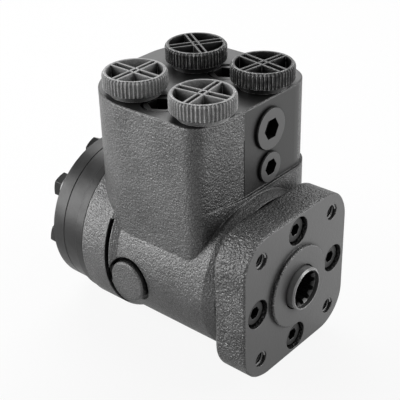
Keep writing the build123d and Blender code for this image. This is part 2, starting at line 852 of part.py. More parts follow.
def make_distributor_plate():
    """Distributor plate with one kidney port for each chamber."""
    disc = cylinder_y(plate_r, plate_start, gear_start)
    disc = chamfer(disc.edges().filter_by(GeomType.CIRCLE), plate_edge)
    half_width = kidney_width / 2
    band = ring_y(kidney_r + half_width, kidney_r - half_width, plate_start - past, gear_start + past)
    reach = 2 * kidney_r
    half = reach * tan(radians(kidney_span / 2))
    wedge = make_face(Polyline((0, 0), (reach, -half), (reach, half), close=True))
    kidney = band & section_y(wedge, plate_start - past, gear_start + past)
    cuts = around_y(kidney, lobes, end_bolt_first + 180 / lobes)
    cuts += end_bolt_holes(plate_start, gear_start)
    cuts.append(cylinder_y(plate_bore_r, plate_start - past, gear_start + past))
    cuts.append(ring_groove(stack_ring_r, stack_ring_cord, gear_start, -1))
    return cut_all(disc, cuts)


def make_end_cover():
    """Flat end cover with a chamfered rim."""
    disc = cylinder_y(stack_r, end_cover_start, end_cover_face)
    disc = chamfer(disc.faces().sort_by(Axis.Y)[-1].edges(), cover_plate_edge)
    disc = chamfer(disc.faces().sort_by(Axis.Y)[0].edges(), stack_edge)
    cuts = end_bolt_holes(end_cover_start, end_cover_face)
    cuts.append(ring_groove(stack_ring_r, stack_ring_cord, end_cover_start, 1))
    return cut_all(disc, cuts)


def make_end_bolts():
    """Seven M8 hexagon bolts that hold the stack to the housing."""
    x = end_bolt_pcd / 2
    seat = end_cover_face + washer_t
    top = seat + end_bolt_head_h
    head = section_y(Pos(x, 0) * hexagon(end_bolt_af), seat, top)
    corner_r = end_bolt_af / sqrt(3)
    crown = cylinder_y(corner_r, seat, top - end_bolt_head_edge, x)
    crown = crown + cone_y(corner_r, corner_r - 2 * end_bolt_head_edge, top - end_bolt_head_edge, top, x)
    shank = cylinder_y(m8_r - thread_gap, barrel_end - end_bolt_grip, seat + past, x)
    return around_y((head & crown) + shank, lobes, end_bolt_first)


def make_washers():
    """Sealing washers under the end bolts."""
    top = end_cover_face + washer_t
    washer = ring_y(washer_r, m8_r + bolt_clearance, end_cover_face, top, end_bolt_pcd / 2)
    return around_y(washer, lobes, end_bolt_first)


def make_cardan_spacer():
    """Disc in the rotor's bore that keeps the cardan shaft off the end cover."""
    return cylinder_y(spacer_r, spacer_start, spacer_end, 0, eccentricity)


# ---------------------------------------------------------------- plugs and valves
def make_front_plug(x, z, head_size, thread_size, across_flats, hex_depth):
    """Hexagon-socket plug in the front of the block; the sizes are (radius, length)."""
    head_r, head_h = head_size
    thread_r, thread_h = thread_size
    face = block_front - head_h
    head = cylinder_y(head_r, face, block_front, x, z)
    head = chamfer(head.faces().sort_by(Axis.Y)[0].edges(), plug_edge)
    thread = cylinder_y(thread_r - thread_gap, block_front - past, block_front + thread_h, x, z)
    socket = section_y(Pos(x, z) * hexagon(across_flats), face - past, face + hex_depth)
    return head + thread - socket


def plug_seal(circle_r, cord, x, z):
    """O-ring in the block's front face under a plug's head."""
    return o_ring(circle_r, cord, block_front + cord / 2, x, z)


def make_relief_plug():
    """Large plug with the guide bore for the relief poppet's stem."""
    head = (relief_head_r, relief_head_h)
    thread = (relief_thread_r, relief_thread_h)
    plug = make_front_plug(relief_x, relief_z, head, thread, relief_af, relief_hex_depth)
    guide_end = block_front + relief_thread_h
    guide_start = relief_flange_y() - relief_stem_length - relief_lift - free_gap
    return plug - cylinder_y(relief_stem_r + run_gap, guide_start, guide_end + past, relief_x, relief_z)


def relief_flange_y():
    """Front of the poppet's spring flange: its cone then lies just clear of the seat's edge."""
    seat_start = relief_bore_end - relief_seat_t
    return seat_start - (relief_flange_r - relief_seat_r) - relief_flange_t - run_gap


def make_relief_poppet():
    """Poppet with a guide stem, a spring flange and a 45 degree cone."""
    flange = relief_flange_y()
    cone = flange + relief_flange_t
    tip_r = relief_seat_r / 2
    poppet = cylinder_y(relief_stem_r, flange - relief_stem_length, flange + past, relief_x, relief_z)
    poppet = poppet + cylinder_y(relief_flange_r, flange, cone, relief_x, relief_z)
    return poppet + cone_y(relief_flange_r, tip_r, cone, cone + relief_flange_r - tip_r, relief_x, relief_z)


def make_relief_seat():
    """Pressed-in seat at the end of the relief bore."""
    start = relief_bore_end - relief_seat_t
    end = relief_bore_end - seal_gap
    return ring_y(relief_bore_r - seal_gap, relief_seat_r, start, end, relief_x, relief_z)


def make_relief_spring():
    """Spring between the large plug and the poppet's flange."""
    start = block_front + relief_thread_h + seal_gap
    spring = coil(relief_coil_r, relief_wire_r, relief_flange_y() - seal_gap - start, relief_turns)
    return Pos(relief_x, start, relief_z) * Rot(-90, 0, 0) * spring


def make_check_plug():
    """Small plug that holds the check ball's spring."""
    head = (check_head_r, check_head_h)
    thread = (check_thread_r, check_thread_h)
    return make_front_plug(check_x, check_z, head, thread, check_af, check_hex_depth)


def check_ball_y():
    """Centre of the check ball, which lies on its seat."""
    return check_guide_end - ball_seat_distance(check_ball_r, check_seat_r)


def make_check_spring():
    """Spring between the small plug and the check ball."""
    start = block_front + check_thread_h + seal_gap
    end = check_ball_y() - spring_seat_distance(check_ball_r, check_seat_r, check_wire_r)
    spring = coil(check_seat_r, check_wire_r, end - start, check_turns)
    return Pos(check_x, start, check_z) * Rot(-90, 0, 0) * spring


def make_shock_plug(side):
    """Hexagon-socket plug sunk into the top face."""
    x = side * shock_x
    bottom = block_top - shock_sink_depth
    head = cylinder_z(shock_head_r, bottom, bottom + shock_head_h, x, shock_y)
    head = chamfer(head.faces().sort_by(Axis.Z)[-1].edges(), plug_edge)
    thread = cylinder_z(shock_thread_r - thread_gap, bottom - shock_thread_h, bottom + past, x, shock_y)
    socket_floor = bottom + shock_head_h - shock_hex_depth
    socket = section_z(Pos(x, shock_y) * hexagon(shock_af), socket_floor, block_top + past)
    return head + thread - socket


def shock_ball_z():
    """Centre of a shock ball, which lies on its seat."""
    return shock_seat_z + ball_seat_distance(shock_ball_r, shock_seat_r)


def make_shock_spring(side):
    """Spring between a shock plug and its ball."""
    top = block_top - shock_sink_depth - shock_thread_h - seal_gap
    bottom = shock_ball_z() + spring_seat_distance(shock_ball_r, shock_seat_r, shock_wire_r)
    return Pos(side * shock_x, shock_y, bottom) * coil(shock_seat_r, shock_wire_r, top - bottom, shock_turns)


def make_inlet_ball():
    """Ball of the inlet check valve on its seat."""
    x, z = rear_point(inlet_valve_angle)
    return Pos(x, inlet_ball_y, z) * Sphere(inlet_ball_r)


def make_inlet_bushing():
    """Threaded bushing with a hexagon hole that keeps the inlet ball in."""
    x, z = rear_point(inlet_valve_angle)
    start = inlet_bushing_start
    end = start + bushing_h
    body = cylinder_y(inlet_valve_r - thread_gap, start, end, x, z)
    return body - section_y(Pos(x, z) * hexagon(bushing_af), start - past, end + past)


def suction_ball_y():
    """Centre of a suction ball, which lies on its seat."""
    return suction_seat_y + ball_seat_distance(suction_ball_r, suction_seat_r)


def make_suction_ball(angle):
    """Ball of one suction valve on its seat."""
    x, z = rear_point(angle)
    return Pos(x, suction_ball_y(), z) * Sphere(suction_ball_r)


def make_suction_pins():
    """Stop pins that limit the suction balls' lift; each leans on the distributor plate."""
    start = suction_ball_y() + suction_ball_r + suction_lift
    pins = []
    for angle in suction_angles:
        x, z = rear_point(angle)
        pins.append(cylinder_y(suction_pin_r, start + free_gap, barrel_end - suction_pin_setback, x, z))
    return pins


# ---------------------------------------------------------------- port caps
def knurled_outline():
    """Outline of the cap's rim: shallow pointed teeth all around."""
    points = []
    for index in range(2 * cap_teeth):
        radius = cap_rim_r if index % 2 == 0 else cap_rim_r - cap_tooth_depth
        angle = pi * index / cap_teeth
        points.append((radius * cos(angle), radius * sin(angle)))
    return make_face(Polyline(*points, close=True))


def make_port_cap(x, y, turn):
    """Plastic thread protector: knurled cup with crossed double ribs, a neck and a short stem."""
    top = block_top + cap_height
    rim_bottom = top - cap_rim_h
    cup_r = cap_rim_r - cap_tooth_depth - cap_wall
    floor = top - cap_cup_depth
    rim = section_z(knurled_outline(), rim_bottom, top)
    cup = cylinder_z(cup_r, floor, top + past)
    ribs = []
    rib_h = cap_cup_depth - cap_rib_setback
    for quarter, spacing in enumerate(cap_rib_spacings):
        for side in (-1, 1):
            rib = Pos(0, side * spacing / 2, floor + rib_h / 2) * Box(2 * cup_r, cap_rib_t, rib_h)
            ribs.append(Rot(0, 0, 90 * quarter) * rib)
    cup = cut_all(cup, ribs)
    shell = cut_all(rim, [cup])
    shell = shell + cylinder_z(cap_neck_r, block_top, rim_bottom)
    shell = shell + cylinder_z(port_tap_r - 2 * thread_gap, block_top - cap_stem_h, block_top)
    return Pos(x, y, 0) * Rot(0, 0, turn) * shell


# ---------------------------------------------------------------- all nodes
def build_nodes():
    """Every separate piece by the name of its node."""
    nodes = {
        "housing": make_housing(),
        "front_cover": make_front_cover(),
        "front_cover_screws": [make_cover_screw(x, z) for x, z in cover_screw_points()],
        "dust_seal": make_neck_seal(dust_seal_r, dust_seal_start, dust_seal_width),
        "shaft_seal": make_neck_seal(shaft_seal_r, shaft_seal_start, shaft_seal_width),
        "cover_o_ring": o_ring(face_ring_r, face_ring_cord, cover_thickness - face_ring_cord / 2),
        "thrust_outer_race": ring_y(race_r, neck_r + race_bore_gap, race_start, cage_start),
        "thrust_cage": make_thrust_cage(),
        "thrust_needles": make_thrust_needles(),
        "thrust_inner_race": ring_y(race_r, neck_r + race_bore_gap, inner_race_start, sleeve_start),
        "spool": make_spool(),
        "sleeve": make_sleeve(),
        "leaf_springs": make_leaf_springs(),
        "spring_retainer": make_spring_retainer(),
        "cross_pin": make_cross_pin(),
        "cardan_shaft": make_cardan_shaft(),
        "distributor_plate": make_distributor_plate(),
        "gear_ring": make_gear_ring(),
        "rotor": make_rotor(),
        "cardan_spacer": make_cardan_spacer(),
        "end_cover": make_end_cover(),
        "end_bolts": make_end_bolts(),
        "end_bolt_washers": make_washers(),
        "plate_o_ring": o_ring(stack_ring_r, stack_ring_cord, plate_start - stack_ring_cord / 2),
        "ring_o_ring": o_ring(stack_ring_r, stack_ring_cord, gear_start - stack_ring_cord / 2),
        "end_cover_o_ring": o_ring(stack_ring_r, stack_ring_cord, end_cover_start + stack_ring_cord / 2),
        "relief_valve_plug": make_relief_plug(),
        "relief_plug_seal": plug_seal(relief_ring_r, relief_ring_cord, relief_x, relief_z),
        "relief_poppet": make_relief_poppet(),
        "relief_seat": make_relief_seat(),
        "relief_spring": make_relief_spring(),
        "check_valve_plug": make_check_plug(),
        "check_plug_seal": plug_seal(check_ring_r, check_ring_cord, check_x, check_z),
        "check_ball": Pos(check_x, check_ball_y(), check_z) * Sphere(check_ball_r),
        "check_spring": make_check_spring(),
        "inlet_ball": make_inlet_ball(),
        "inlet_bushing": make_inlet_bushing(),
        "suction_stop_pins": make_suction_pins(),
    }
    for name, angle in zip(("right", "left"), suction_angles):
        nodes[f"suction_ball_{name}"] = make_suction_ball(angle)
    for name, side in (("left", -1), ("right", 1)):
        nodes[f"shock_valve_plug_{name}"] = make_shock_plug(side)
        nodes[f"shock_ball_{name}"] = Pos(side * shock_x, shock_y, shock_ball_z()) * Sphere(shock_ball_r)
        nodes[f"shock_spring_{name}"] = make_shock_spring(side)
    for name, x, y in port_places():
        nodes[f"port_cap_{name}"] = make_port_cap(x, y, cap_turns[name])
    return nodes


def write_nodes(nodes):
    """One STEP file for each node."""
    os.makedirs("parts", exist_ok=True)
    for name, shape in nodes.items():
        pieces = shape if isinstance(shape, list) else [shape]
        solids = [solid for piece in pieces for solid in piece.solids()]
        whole = solids[0] if len(solids) == 1 else Compound(children=solids)
        whole.label = name
        export_step(whole, f"parts/{name}.step")


write_nodes(build_nodes())
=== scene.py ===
"""Looks of an orbital steering unit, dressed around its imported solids.

The row frame is used throughout: the origin is where the shaft axis meets the column face, +Y runs to
the end cover and +Z to the ports. Sizes of pieces are written in millimetres and become metres in the
meshes; the studio is written in metres.
"""

from __future__ import annotations

import logging
import math
from dataclasses import dataclass, field
from enum import Enum

import bpy
import numpy as np
from mathutils import Matrix

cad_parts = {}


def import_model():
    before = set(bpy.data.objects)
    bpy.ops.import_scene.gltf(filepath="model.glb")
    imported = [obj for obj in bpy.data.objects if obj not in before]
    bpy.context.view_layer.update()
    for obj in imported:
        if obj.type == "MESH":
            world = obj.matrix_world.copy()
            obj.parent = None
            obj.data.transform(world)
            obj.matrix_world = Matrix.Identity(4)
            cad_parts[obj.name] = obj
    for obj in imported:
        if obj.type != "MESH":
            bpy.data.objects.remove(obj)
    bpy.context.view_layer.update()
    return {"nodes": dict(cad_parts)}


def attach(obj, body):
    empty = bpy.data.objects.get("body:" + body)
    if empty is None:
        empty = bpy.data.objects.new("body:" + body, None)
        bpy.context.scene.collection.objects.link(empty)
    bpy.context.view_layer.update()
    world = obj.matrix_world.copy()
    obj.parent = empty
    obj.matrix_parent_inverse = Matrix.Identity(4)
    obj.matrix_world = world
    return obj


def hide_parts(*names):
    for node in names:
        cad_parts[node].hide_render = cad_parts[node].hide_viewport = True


MM = 0.001
LOG = logging.getLogger("steering_unit")
Colour = tuple[float, float, float]
Feed = bpy.types.NodeSocket | float | tuple[float, ...]

GLOSSY_SHARE = 0.3  # how much of the white backdrop a mirrored ray sees
BEVEL_SAMPLES = 4
SHADE_SAMPLES = 6


def grey(level: float) -> Colour:
    """Returns a neutral grey as three equal linear channels."""
    return (level, level, level)


def opaque(colour: Colour) -> tuple[float, ...]:
    """Returns a colour with full alpha, as a colour socket takes it."""
    return (*colour, 1.0)


# ---------------------------------------------------------------- node building
class MixKind(Enum):
    """A Mix node's data type, and the places of its A, B and result sockets."""

    NUMBER = ("FLOAT", 2, 3, 0)
    COLOUR = ("RGBA", 6, 7, 2)


class NodeSheet:
    """Adds nodes to one node tree and joins them."""

    def __init__(self, tree: bpy.types.NodeTree) -> None:
        """Keeps the tree.

        Args:
            tree: The node tree that everything is added to.
        """
        self.tree = tree

    def add(
        self, kind: str, inputs: dict[str | int, Feed] | None = None, **settings: object
    ) -> bpy.types.Node:
        """Adds a node.

        Args:
            kind: The node's type, without the ShaderNode prefix.
            inputs: A constant or another node's output socket for each named input.
            settings: Values of the node's own properties.

        Returns:
            The new node.
        """
        node = self.tree.nodes.new("ShaderNode" + kind)
        for name, value in settings.items():
            setattr(node, name, value)
        for name, value in (inputs or {}).items():
            self.feed(node.inputs[name], value)
        return node

    def feed(self, socket: bpy.types.NodeSocket, value: Feed) -> None:
        """Fills an input.

        Args:
            socket: The input socket.
            value: Another node's output socket, which is joined to it, or a constant.
        """
        if isinstance(value, bpy.types.NodeSocket):
            self.tree.links.new(value, socket)
        else:
            socket.default_value = value

    def math(self, operation: str, a: Feed, b: Feed = 0.0, clamp: bool = False) -> bpy.types.NodeSocket:
        """Adds a Math node.

        Args:
            operation: The node's operation.
            a: Its first value.
            b: Its second value, which an operation on one value ignores.
            clamp: Whether the result is kept within 0 and 1.

        Returns:
            The result.
        """
        node = self.add("Math", {0: a, 1: b}, operation=operation)
        node.use_clamp = clamp
        return node.outputs[0]

    def ramp(
        self, value: Feed, low: float, high: float, start: float = 0.0, end: float = 1.0
    ) -> bpy.types.NodeSocket:
        """Adds a clamped Map Range.

        Args:
            value: What is mapped.
            low: The value that gives start.
            high: The value that gives end.
            start: The result at low and before it.
            end: The result at high and past it.

        Returns:
            The mapped value.
        """
        ends = {"Value": value, "From Min": low, "From Max": high, "To Min": start, "To Max": end}
        return self.add("MapRange", ends).outputs[0]

    def _mix(self, kind: MixKind, factor: Feed, a: Feed, b: Feed) -> bpy.types.NodeSocket:
        """Adds a Mix node.

        Args:
            kind: What is mixed.
            factor: 0 gives a and 1 gives b.
            a: The first colour or number.
            b: The second one.

        Returns:
            The mixed colour or number.
        """
        data_type, first, second, result = kind.value
        node = self.add("Mix", {0: factor, first: a, second: b}, data_type=data_type)
        return node.outputs[result]

    def mix(self, factor: Feed, a: Feed, b: Feed) -> bpy.types.NodeSocket:
        """Returns the mix of two colours, a at factor 0 and b at factor 1."""
        return self._mix(MixKind.COLOUR, factor, a, b)

    def blend(self, factor: Feed, a: Feed, b: Feed) -> bpy.types.NodeSocket:
        """Returns the mix of two numbers, a at factor 0 and b at factor 1."""
        return self._mix(MixKind.NUMBER, factor, a, b)

    def noise(
        self, where: Feed, scale: Feed, detail: float = 2.0, roughness: float = 0.5
    ) -> bpy.types.NodeSocket:
        """Adds a Noise Texture.

        Args:
            where: The coordinates.
            scale: How many cells a metre has.
            detail: How many finer layers are added.
            roughness: How strong each finer layer is.

        Returns:
            The noise as a number.
        """
        inputs = {"Vector": where, "Scale": scale, "Detail": detail, "Roughness": roughness}
        return self.add("TexNoise", inputs).outputs[0]

    def place(self) -> bpy.types.bpy_prop_collection:
        """Returns the X, Y and Z sockets of the Object coordinates, in metres."""
        return self.add("SeparateXYZ", {0: self.add("TexCoord").outputs["Object"]}).outputs

    def shaft_radius(self, place: bpy.types.bpy_prop_collection) -> bpy.types.NodeSocket:
        """Returns the distance from the shaft axis: the root of x squared plus z squared."""
        across = self.math("ADD", self.math("POWER", place["X"], 2.0), self.math("POWER", place["Z"], 2.0))
        return self.math("SQRT", across)

    def background_rays(self) -> bpy.types.NodeSocket:
        """Finds the rays that see the white backdrop.

        Returns:
            1 for the camera's and the transmitted rays, GLOSSY_SHARE for mirrored ones and 0 for the rest.
        """
        path = self.add("LightPath").outputs
        clear = self.math("MAXIMUM", path["Is Camera Ray"], path["Is Transmission Ray"])
        return self.math("MAXIMUM", clear, self.math("MULTIPLY", path["Is Glossy Ray"], GLOSSY_SHARE))


@dataclass(frozen=True)
class CastSkin:
    """How the layers of a sand-cast skin add up.

    The coarse and spot scales are shares of the finish's own grain scale, and each weight is a layer's
    share of the height. A span is where a mask starts and where it is full.
    """

    coarse_scale: float = 0.42
    spot_scale: float = 1.7
    wave_scale: float = 60.0
    cell_weight: float = 0.55
    fine_weight: float = 0.7
    coarse_weight: float = 1.1
    wave_weight: float = 0.8
    cell_span: tuple[float, float] = (0.1, 0.7)
    speck_span: tuple[float, float] = (0.5, 0.72)
    pit_span: tuple[float, float] = (0.5, 0.3)


@dataclass(frozen=True)
class WornAndHighlitEdge:
    """Where edge wear and painted highlight start and are full, by the cosine of the normal's bend, and the
    noise that breaks them up.
    """

    bend_span: tuple[float, float] = (0.995, 0.86)
    break_scale: float = 420.0
    break_span: tuple[float, float] = (0.36, 0.6)


class GroupKind(Enum):
    """Node groups that several finishes share."""

    CAST_GRAIN = "Cast grain"
    # bright edges: partly real wear, partly painted highlight
    EDGE_WEAR_AND_HIGHLIGHT = "Edge abrasion and painted highlight"
    # painted shade in creases and recesses, found by ambient occlusion
    PAINTED_CREVICE_SHADE = "Painted crevice shade"
    TOOL_LINES = "Tool lines"


class GroupShelf:
    """Builds each shared node group once and hands it out."""

    open_sky_span = (0.85, 0.25)

    def __init__(self) -> None:
        """Starts with no group built."""
        self.built: dict[GroupKind, bpy.types.NodeTree] = {}

    def get(self, kind: GroupKind) -> bpy.types.NodeTree:
        """Hands out a group, and builds it first if needed.

        Args:
            kind: Which group.

        Returns:
            The group's node tree.
        """
        if kind not in self.built:
            makers = {
                GroupKind.CAST_GRAIN: self._cast_grain,
                GroupKind.EDGE_WEAR_AND_HIGHLIGHT: self._edge_wear_and_highlight,
                GroupKind.PAINTED_CREVICE_SHADE: self._painted_crevice_shade,
                GroupKind.TOOL_LINES: self._tool_lines,
            }
            self.built[kind] = makers[kind]()
        return self.built[kind]

    def _blank(
        self, kind: GroupKind, inputs: dict[str, float], outputs: list[str]
    ) -> tuple[NodeSheet, dict[str, bpy.types.NodeSocket], bpy.types.Node]:
        """Makes an empty group.

        Args:
            kind: Which group.
            inputs: The number inputs with their defaults.
            outputs: The number outputs.

        Returns:
            The group's sheet, its input sockets by name, and its output node.
        """
        tree = bpy.data.node_groups.new(kind.value, "ShaderNodeTree")
        for name, default in inputs.items():
            socket = tree.interface.new_socket(name, in_out="INPUT", socket_type="NodeSocketFloat")
            socket.default_value = default
        for name in outputs:
            tree.interface.new_socket(name, in_out="OUTPUT", socket_type="NodeSocketFloat")
        start = tree.nodes.new("NodeGroupInput")
        end = tree.nodes.new("NodeGroupOutput")
        return NodeSheet(tree), {name: start.outputs[name] for name in inputs}, end

    def _cast_grain(self) -> bpy.types.NodeTree:
        """Makes the sand-cast skin of fine grains and slow waves.

        Returns:
            A group that puts out a height and masks of light specks and dark pits.
        """
        skin = CastSkin()
        inputs = {"Scale": 900.0, "Speckle": 0.5}
        sheet, given, end = self._blank(GroupKind.CAST_GRAIN, inputs, ["Height", "Speckle", "Pits"])
        where = sheet.add("TexCoord").outputs["Object"]
        scale = given["Scale"]
        fine = sheet.noise(where, scale, detail=3.0, roughness=0.65)
        coarse_scale = sheet.math("MULTIPLY", scale, skin.coarse_scale)
        coarse = sheet.noise(where, coarse_scale, detail=3.0, roughness=0.6)
        cells = sheet.add("TexVoronoi", {"Vector": where, "Scale": scale}, feature="SMOOTH_F1")
        grains = sheet.ramp(cells.outputs["Distance"], *skin.cell_span, start=1.0, end=0.0)
        layers = (
            (fine, skin.fine_weight),
            (coarse, skin.coarse_weight),
            (sheet.noise(where, skin.wave_scale), skin.wave_weight),
        )
        height = sheet.math("MULTIPLY", grains, skin.cell_weight)
        for layer, weight in layers:
            height = sheet.math("ADD", height, sheet.math("MULTIPLY", layer, weight))
        sheet.feed(end.inputs["Height"], height)
        spots = sheet.noise(where, sheet.math("MULTIPLY", scale, skin.spot_scale), detail=2.0, roughness=0.7)
        for name, span in (("Speckle", skin.speck_span), ("Pits", skin.pit_span)):
            mask = sheet.math("MULTIPLY", sheet.ramp(spots, *span), given["Speckle"], clamp=True)
            sheet.feed(end.inputs[name], mask)
        return sheet.tree

    def _edge_wear_and_highlight(self) -> bpy.types.NodeTree:
        """Makes bright edges, partly wear and partly painted highlight, where a rounded normal leaves the
        true one, broken up by noise.

        Returns:
            A group that puts out a mask.
        """
        edge = WornAndHighlitEdge()
        sheet, given, end = self._blank(GroupKind.EDGE_WEAR_AND_HIGHLIGHT, {"Radius": 0.0006, "Amount": 1.0}, ["Mask"])
        rounded = sheet.add("Bevel", {"Radius": given["Radius"]}, samples=BEVEL_SAMPLES).outputs[0]
        true = sheet.add("NewGeometry").outputs["Normal"]
        dot = sheet.add("VectorMath", {0: rounded, 1: true}, operation="DOT_PRODUCT").outputs["Value"]
        bent = sheet.ramp(dot, *edge.bend_span)
        where = sheet.add("TexCoord").outputs["Object"]
        breaks = sheet.noise(where, edge.break_scale, detail=3.0, roughness=0.65)
        worn_and_lit = sheet.math("MULTIPLY", bent, sheet.ramp(breaks, *edge.break_span))
        sheet.feed(end.inputs["Mask"], sheet.math("MULTIPLY", worn_and_lit, given["Amount"], clamp=True))
        return sheet.tree

    def _painted_crevice_shade(self) -> bpy.types.NodeTree:
        """Makes painted shade: darkens the colour where neighbouring surfaces shut the light out.

        Returns:
            A group that puts out a mask.
        """
        sheet, given, end = self._blank(GroupKind.PAINTED_CREVICE_SHADE, {"Reach": 0.006, "Amount": 1.0}, ["Mask"])
        shade = sheet.add("AmbientOcclusion", {"Distance": given["Reach"]}, samples=SHADE_SAMPLES)
        shut = sheet.ramp(shade.outputs["AO"], *self.open_sky_span)
        sheet.feed(end.inputs["Mask"], sheet.math("MULTIPLY", shut, given["Amount"], clamp=True))
        return sheet.tree

    def _tool_lines(self) -> bpy.types.NodeTree:
        """Makes the fine lines that a turning tool leaves around the shaft axis.

        Returns:
            A group that puts out a height.
        """
        sheet, given, end = self._blank(GroupKind.TOOL_LINES, {"Pitch": 3200.0, "Depth": 1.0}, ["Height"])
        parts = sheet.place()
        turned = sheet.add("CombineXYZ", {0: sheet.shaft_radius(parts), 1: parts["Y"], 2: 0.0}).outputs[0]
        lines = sheet.noise(turned, given["Pitch"], detail=2.0, roughness=0.4)
        sheet.feed(end.inputs["Height"], sheet.math("MULTIPLY", lines, given["Depth"]))
        return sheet.tree


# ---------------------------------------------------------------- finishes
@dataclass(frozen=True)
class ToneZone:
    """A machined face, or a painted shade line, with its own tone.

    axis and side say where its normal points, level is its grey, and limits are its bounds as
    (axis, low, high) in mm.
    """

    axis: str
    side: float
    level: float
    limits: tuple[tuple[str, float, float], ...]


@dataclass(frozen=True)
class Unevenness:
    """What every finish varies by: patches of colour and of sheen, and what lies over them."""

    patch_scale: float = 45.0
    patch_span: tuple[float, float] = (0.3, 0.7)
    sheen_scale: float = 140.0
    sheen_span: tuple[float, float] = (0.25, 0.75)
    smoother: float = 0.05
    rougher: float = 0.06
    pit_level: float = 0.02
    # grey of the painted crevice shade
    painted_shade_level: float = 0.006
    zone_facing: float = 0.9
    zone_grain: float = 0.06
    line_depth: float = 0.00004


@dataclass(frozen=True)
class DarkBore:
    """The shade inside the spool's bore: its grey, its edge's width and where along Y it sets in, in mm."""

    level: float = 0.02
    edge: float = 0.4
    starts: float = -6.2
    full: float = -3.0


UNEVENNESS = Unevenness()
DARK_BORE = DarkBore()


@dataclass(frozen=True)
class Finish:
    """One finish of the unit's metal, rubber or plastic. Lengths are in metres, but for bore_r in mm."""

    name: str
    colour: Colour
    shade: Colour
    roughness: float = 0.45
    metallic: float = 0.0
    specular: float = 0.5
    grain_scale: float = 900.0
    grain_height: float = 0.0
    speckle: float = 0.0
    speckle_colour: Colour = (0.3, 0.3, 0.3)
    # bright edges, partly real wear and partly painted highlight
    wear_and_highlight: float = 0.0
    wear_and_highlight_radius: float = 0.0006
    wear_and_highlight_colour: Colour = (0.42, 0.42, 0.42)
    # how strongly creases and recesses get painted shade, and how far the occlusion looks
    painted_shade: float = 0.0
    painted_shade_reach: float = 0.006
    tool_lines: float = 0.0
    edge_round: float = 0.0
    zones: tuple[ToneZone, ...] = ()
    zone_roughness: float = 0.4
    bore_r: float = 0.0

    def _add_bore(self, sheet: NodeSheet, colour: Feed) -> bpy.types.NodeSocket:
        """Darkens what lies within bore_r of the shaft axis.

        Args:
            sheet: The material's sheet.
            colour: The colour so far.

        Returns:
            The colour with the dark bore.
        """
        place = sheet.place()
        edge_starts = (self.bore_r - DARK_BORE.edge) * MM
        inside = sheet.ramp(sheet.shaft_radius(place), edge_starts, self.bore_r * MM, 1.0, 0.0)
        behind = sheet.ramp(place["Y"], DARK_BORE.starts * MM, DARK_BORE.full * MM)
        return sheet.mix(sheet.math("MULTIPLY", inside, behind), colour, opaque(grey(DARK_BORE.level)))

    def _add_zones(self, sheet: NodeSheet, colour: Feed) -> tuple[Feed, Feed]:
        """Lays the zones' tones over the cast colour: machined faces, and on the housing painted light and
        shade too.

        Args:
            sheet: The material's sheet.
            colour: The colour so far.

        Returns:
            The colour with every zone's tone, and a mask that is 1 on the zones.
        """
        coords = sheet.add("TexCoord")
        place = sheet.add("SeparateXYZ", {0: coords.outputs["Object"]}).outputs
        facing = sheet.add("SeparateXYZ", {0: coords.outputs["Normal"]}).outputs
        whole = 0.0
        for zone in self.zones:
            towards = sheet.math("MULTIPLY", facing[zone.axis], zone.side)
            mask = sheet.math("GREATER_THAN", towards, UNEVENNESS.zone_facing)
            for axis, low, high in zone.limits:
                mask = sheet.math("MULTIPLY", mask, sheet.math("GREATER_THAN", place[axis], low * MM))
                mask = sheet.math("MULTIPLY", mask, sheet.math("LESS_THAN", place[axis], high * MM))
            colour = sheet.mix(mask, colour, opaque(grey(zone.level)))
            whole = sheet.math("MAXIMUM", whole, mask)
        return colour, whole

    def _add_relief(self, sheet: NodeSheet, shelf: GroupShelf, colour: Feed) -> tuple[Feed, Feed | None]:
        """Lays the cast grain with its specks and pits, and the tool lines.

        Args:
            sheet: The material's sheet.
            shelf: Where the shared node groups come from.
            colour: The colour so far.

        Returns:
            The colour with specks and pits, and the height, or None where the finish has neither relief.
        """
        height = None
        if self.grain_height:
            grain = sheet.add("Group", node_tree=shelf.get(GroupKind.CAST_GRAIN))
            sheet.feed(grain.inputs["Scale"], self.grain_scale)
            sheet.feed(grain.inputs["Speckle"], self.speckle)
            height = grain.outputs["Height"]
            colour = sheet.mix(grain.outputs["Speckle"], colour, opaque(self.speckle_colour))
            colour = sheet.mix(grain.outputs["Pits"], colour, opaque(grey(UNEVENNESS.pit_level)))
        if self.tool_lines:
            lines = sheet.add("Group", node_tree=shelf.get(GroupKind.TOOL_LINES))
            sheet.feed(lines.inputs["Depth"], self.tool_lines)
            line_height = lines.outputs["Height"]
            height = line_height if height is None else sheet.math("ADD", height, line_height)
        return colour, height

    def _add_marks(self, sheet: NodeSheet, shelf: GroupShelf, colour: Feed) -> Feed:
        """Lays painted crevice shade, bright edges that are partly wear and partly painted highlight, and the
        painted shade inside the bore over the colour.

        Args:
            sheet: The material's sheet.
            shelf: Where the shared node groups come from.
            colour: The colour so far.

        Returns:
            The finished colour.
        """
        # painted shade: darkens creases and recesses that ambient occlusion finds
        if self.painted_shade:
            painted_shade = sheet.add("Group", node_tree=shelf.get(GroupKind.PAINTED_CREVICE_SHADE))
            sheet.feed(painted_shade.inputs["Reach"], self.painted_shade_reach)
            sheet.feed(painted_shade.inputs["Amount"], self.painted_shade)
            colour = sheet.mix(painted_shade.outputs["Mask"], colour, opaque(grey(UNEVENNESS.painted_shade_level)))
        # bright edges: partly real wear, partly painted highlight
        if self.wear_and_highlight:
            wear_and_highlight = sheet.add("Group", node_tree=shelf.get(GroupKind.EDGE_WEAR_AND_HIGHLIGHT))
            sheet.feed(wear_and_highlight.inputs["Radius"], self.wear_and_highlight_radius)
            sheet.feed(wear_and_highlight.inputs["Amount"], self.wear_and_highlight)
            colour = sheet.mix(wear_and_highlight.outputs["Mask"], colour, opaque(self.wear_and_highlight_colour))
        if self.bore_r:
            colour = self._add_bore(sheet, colour)
        return colour

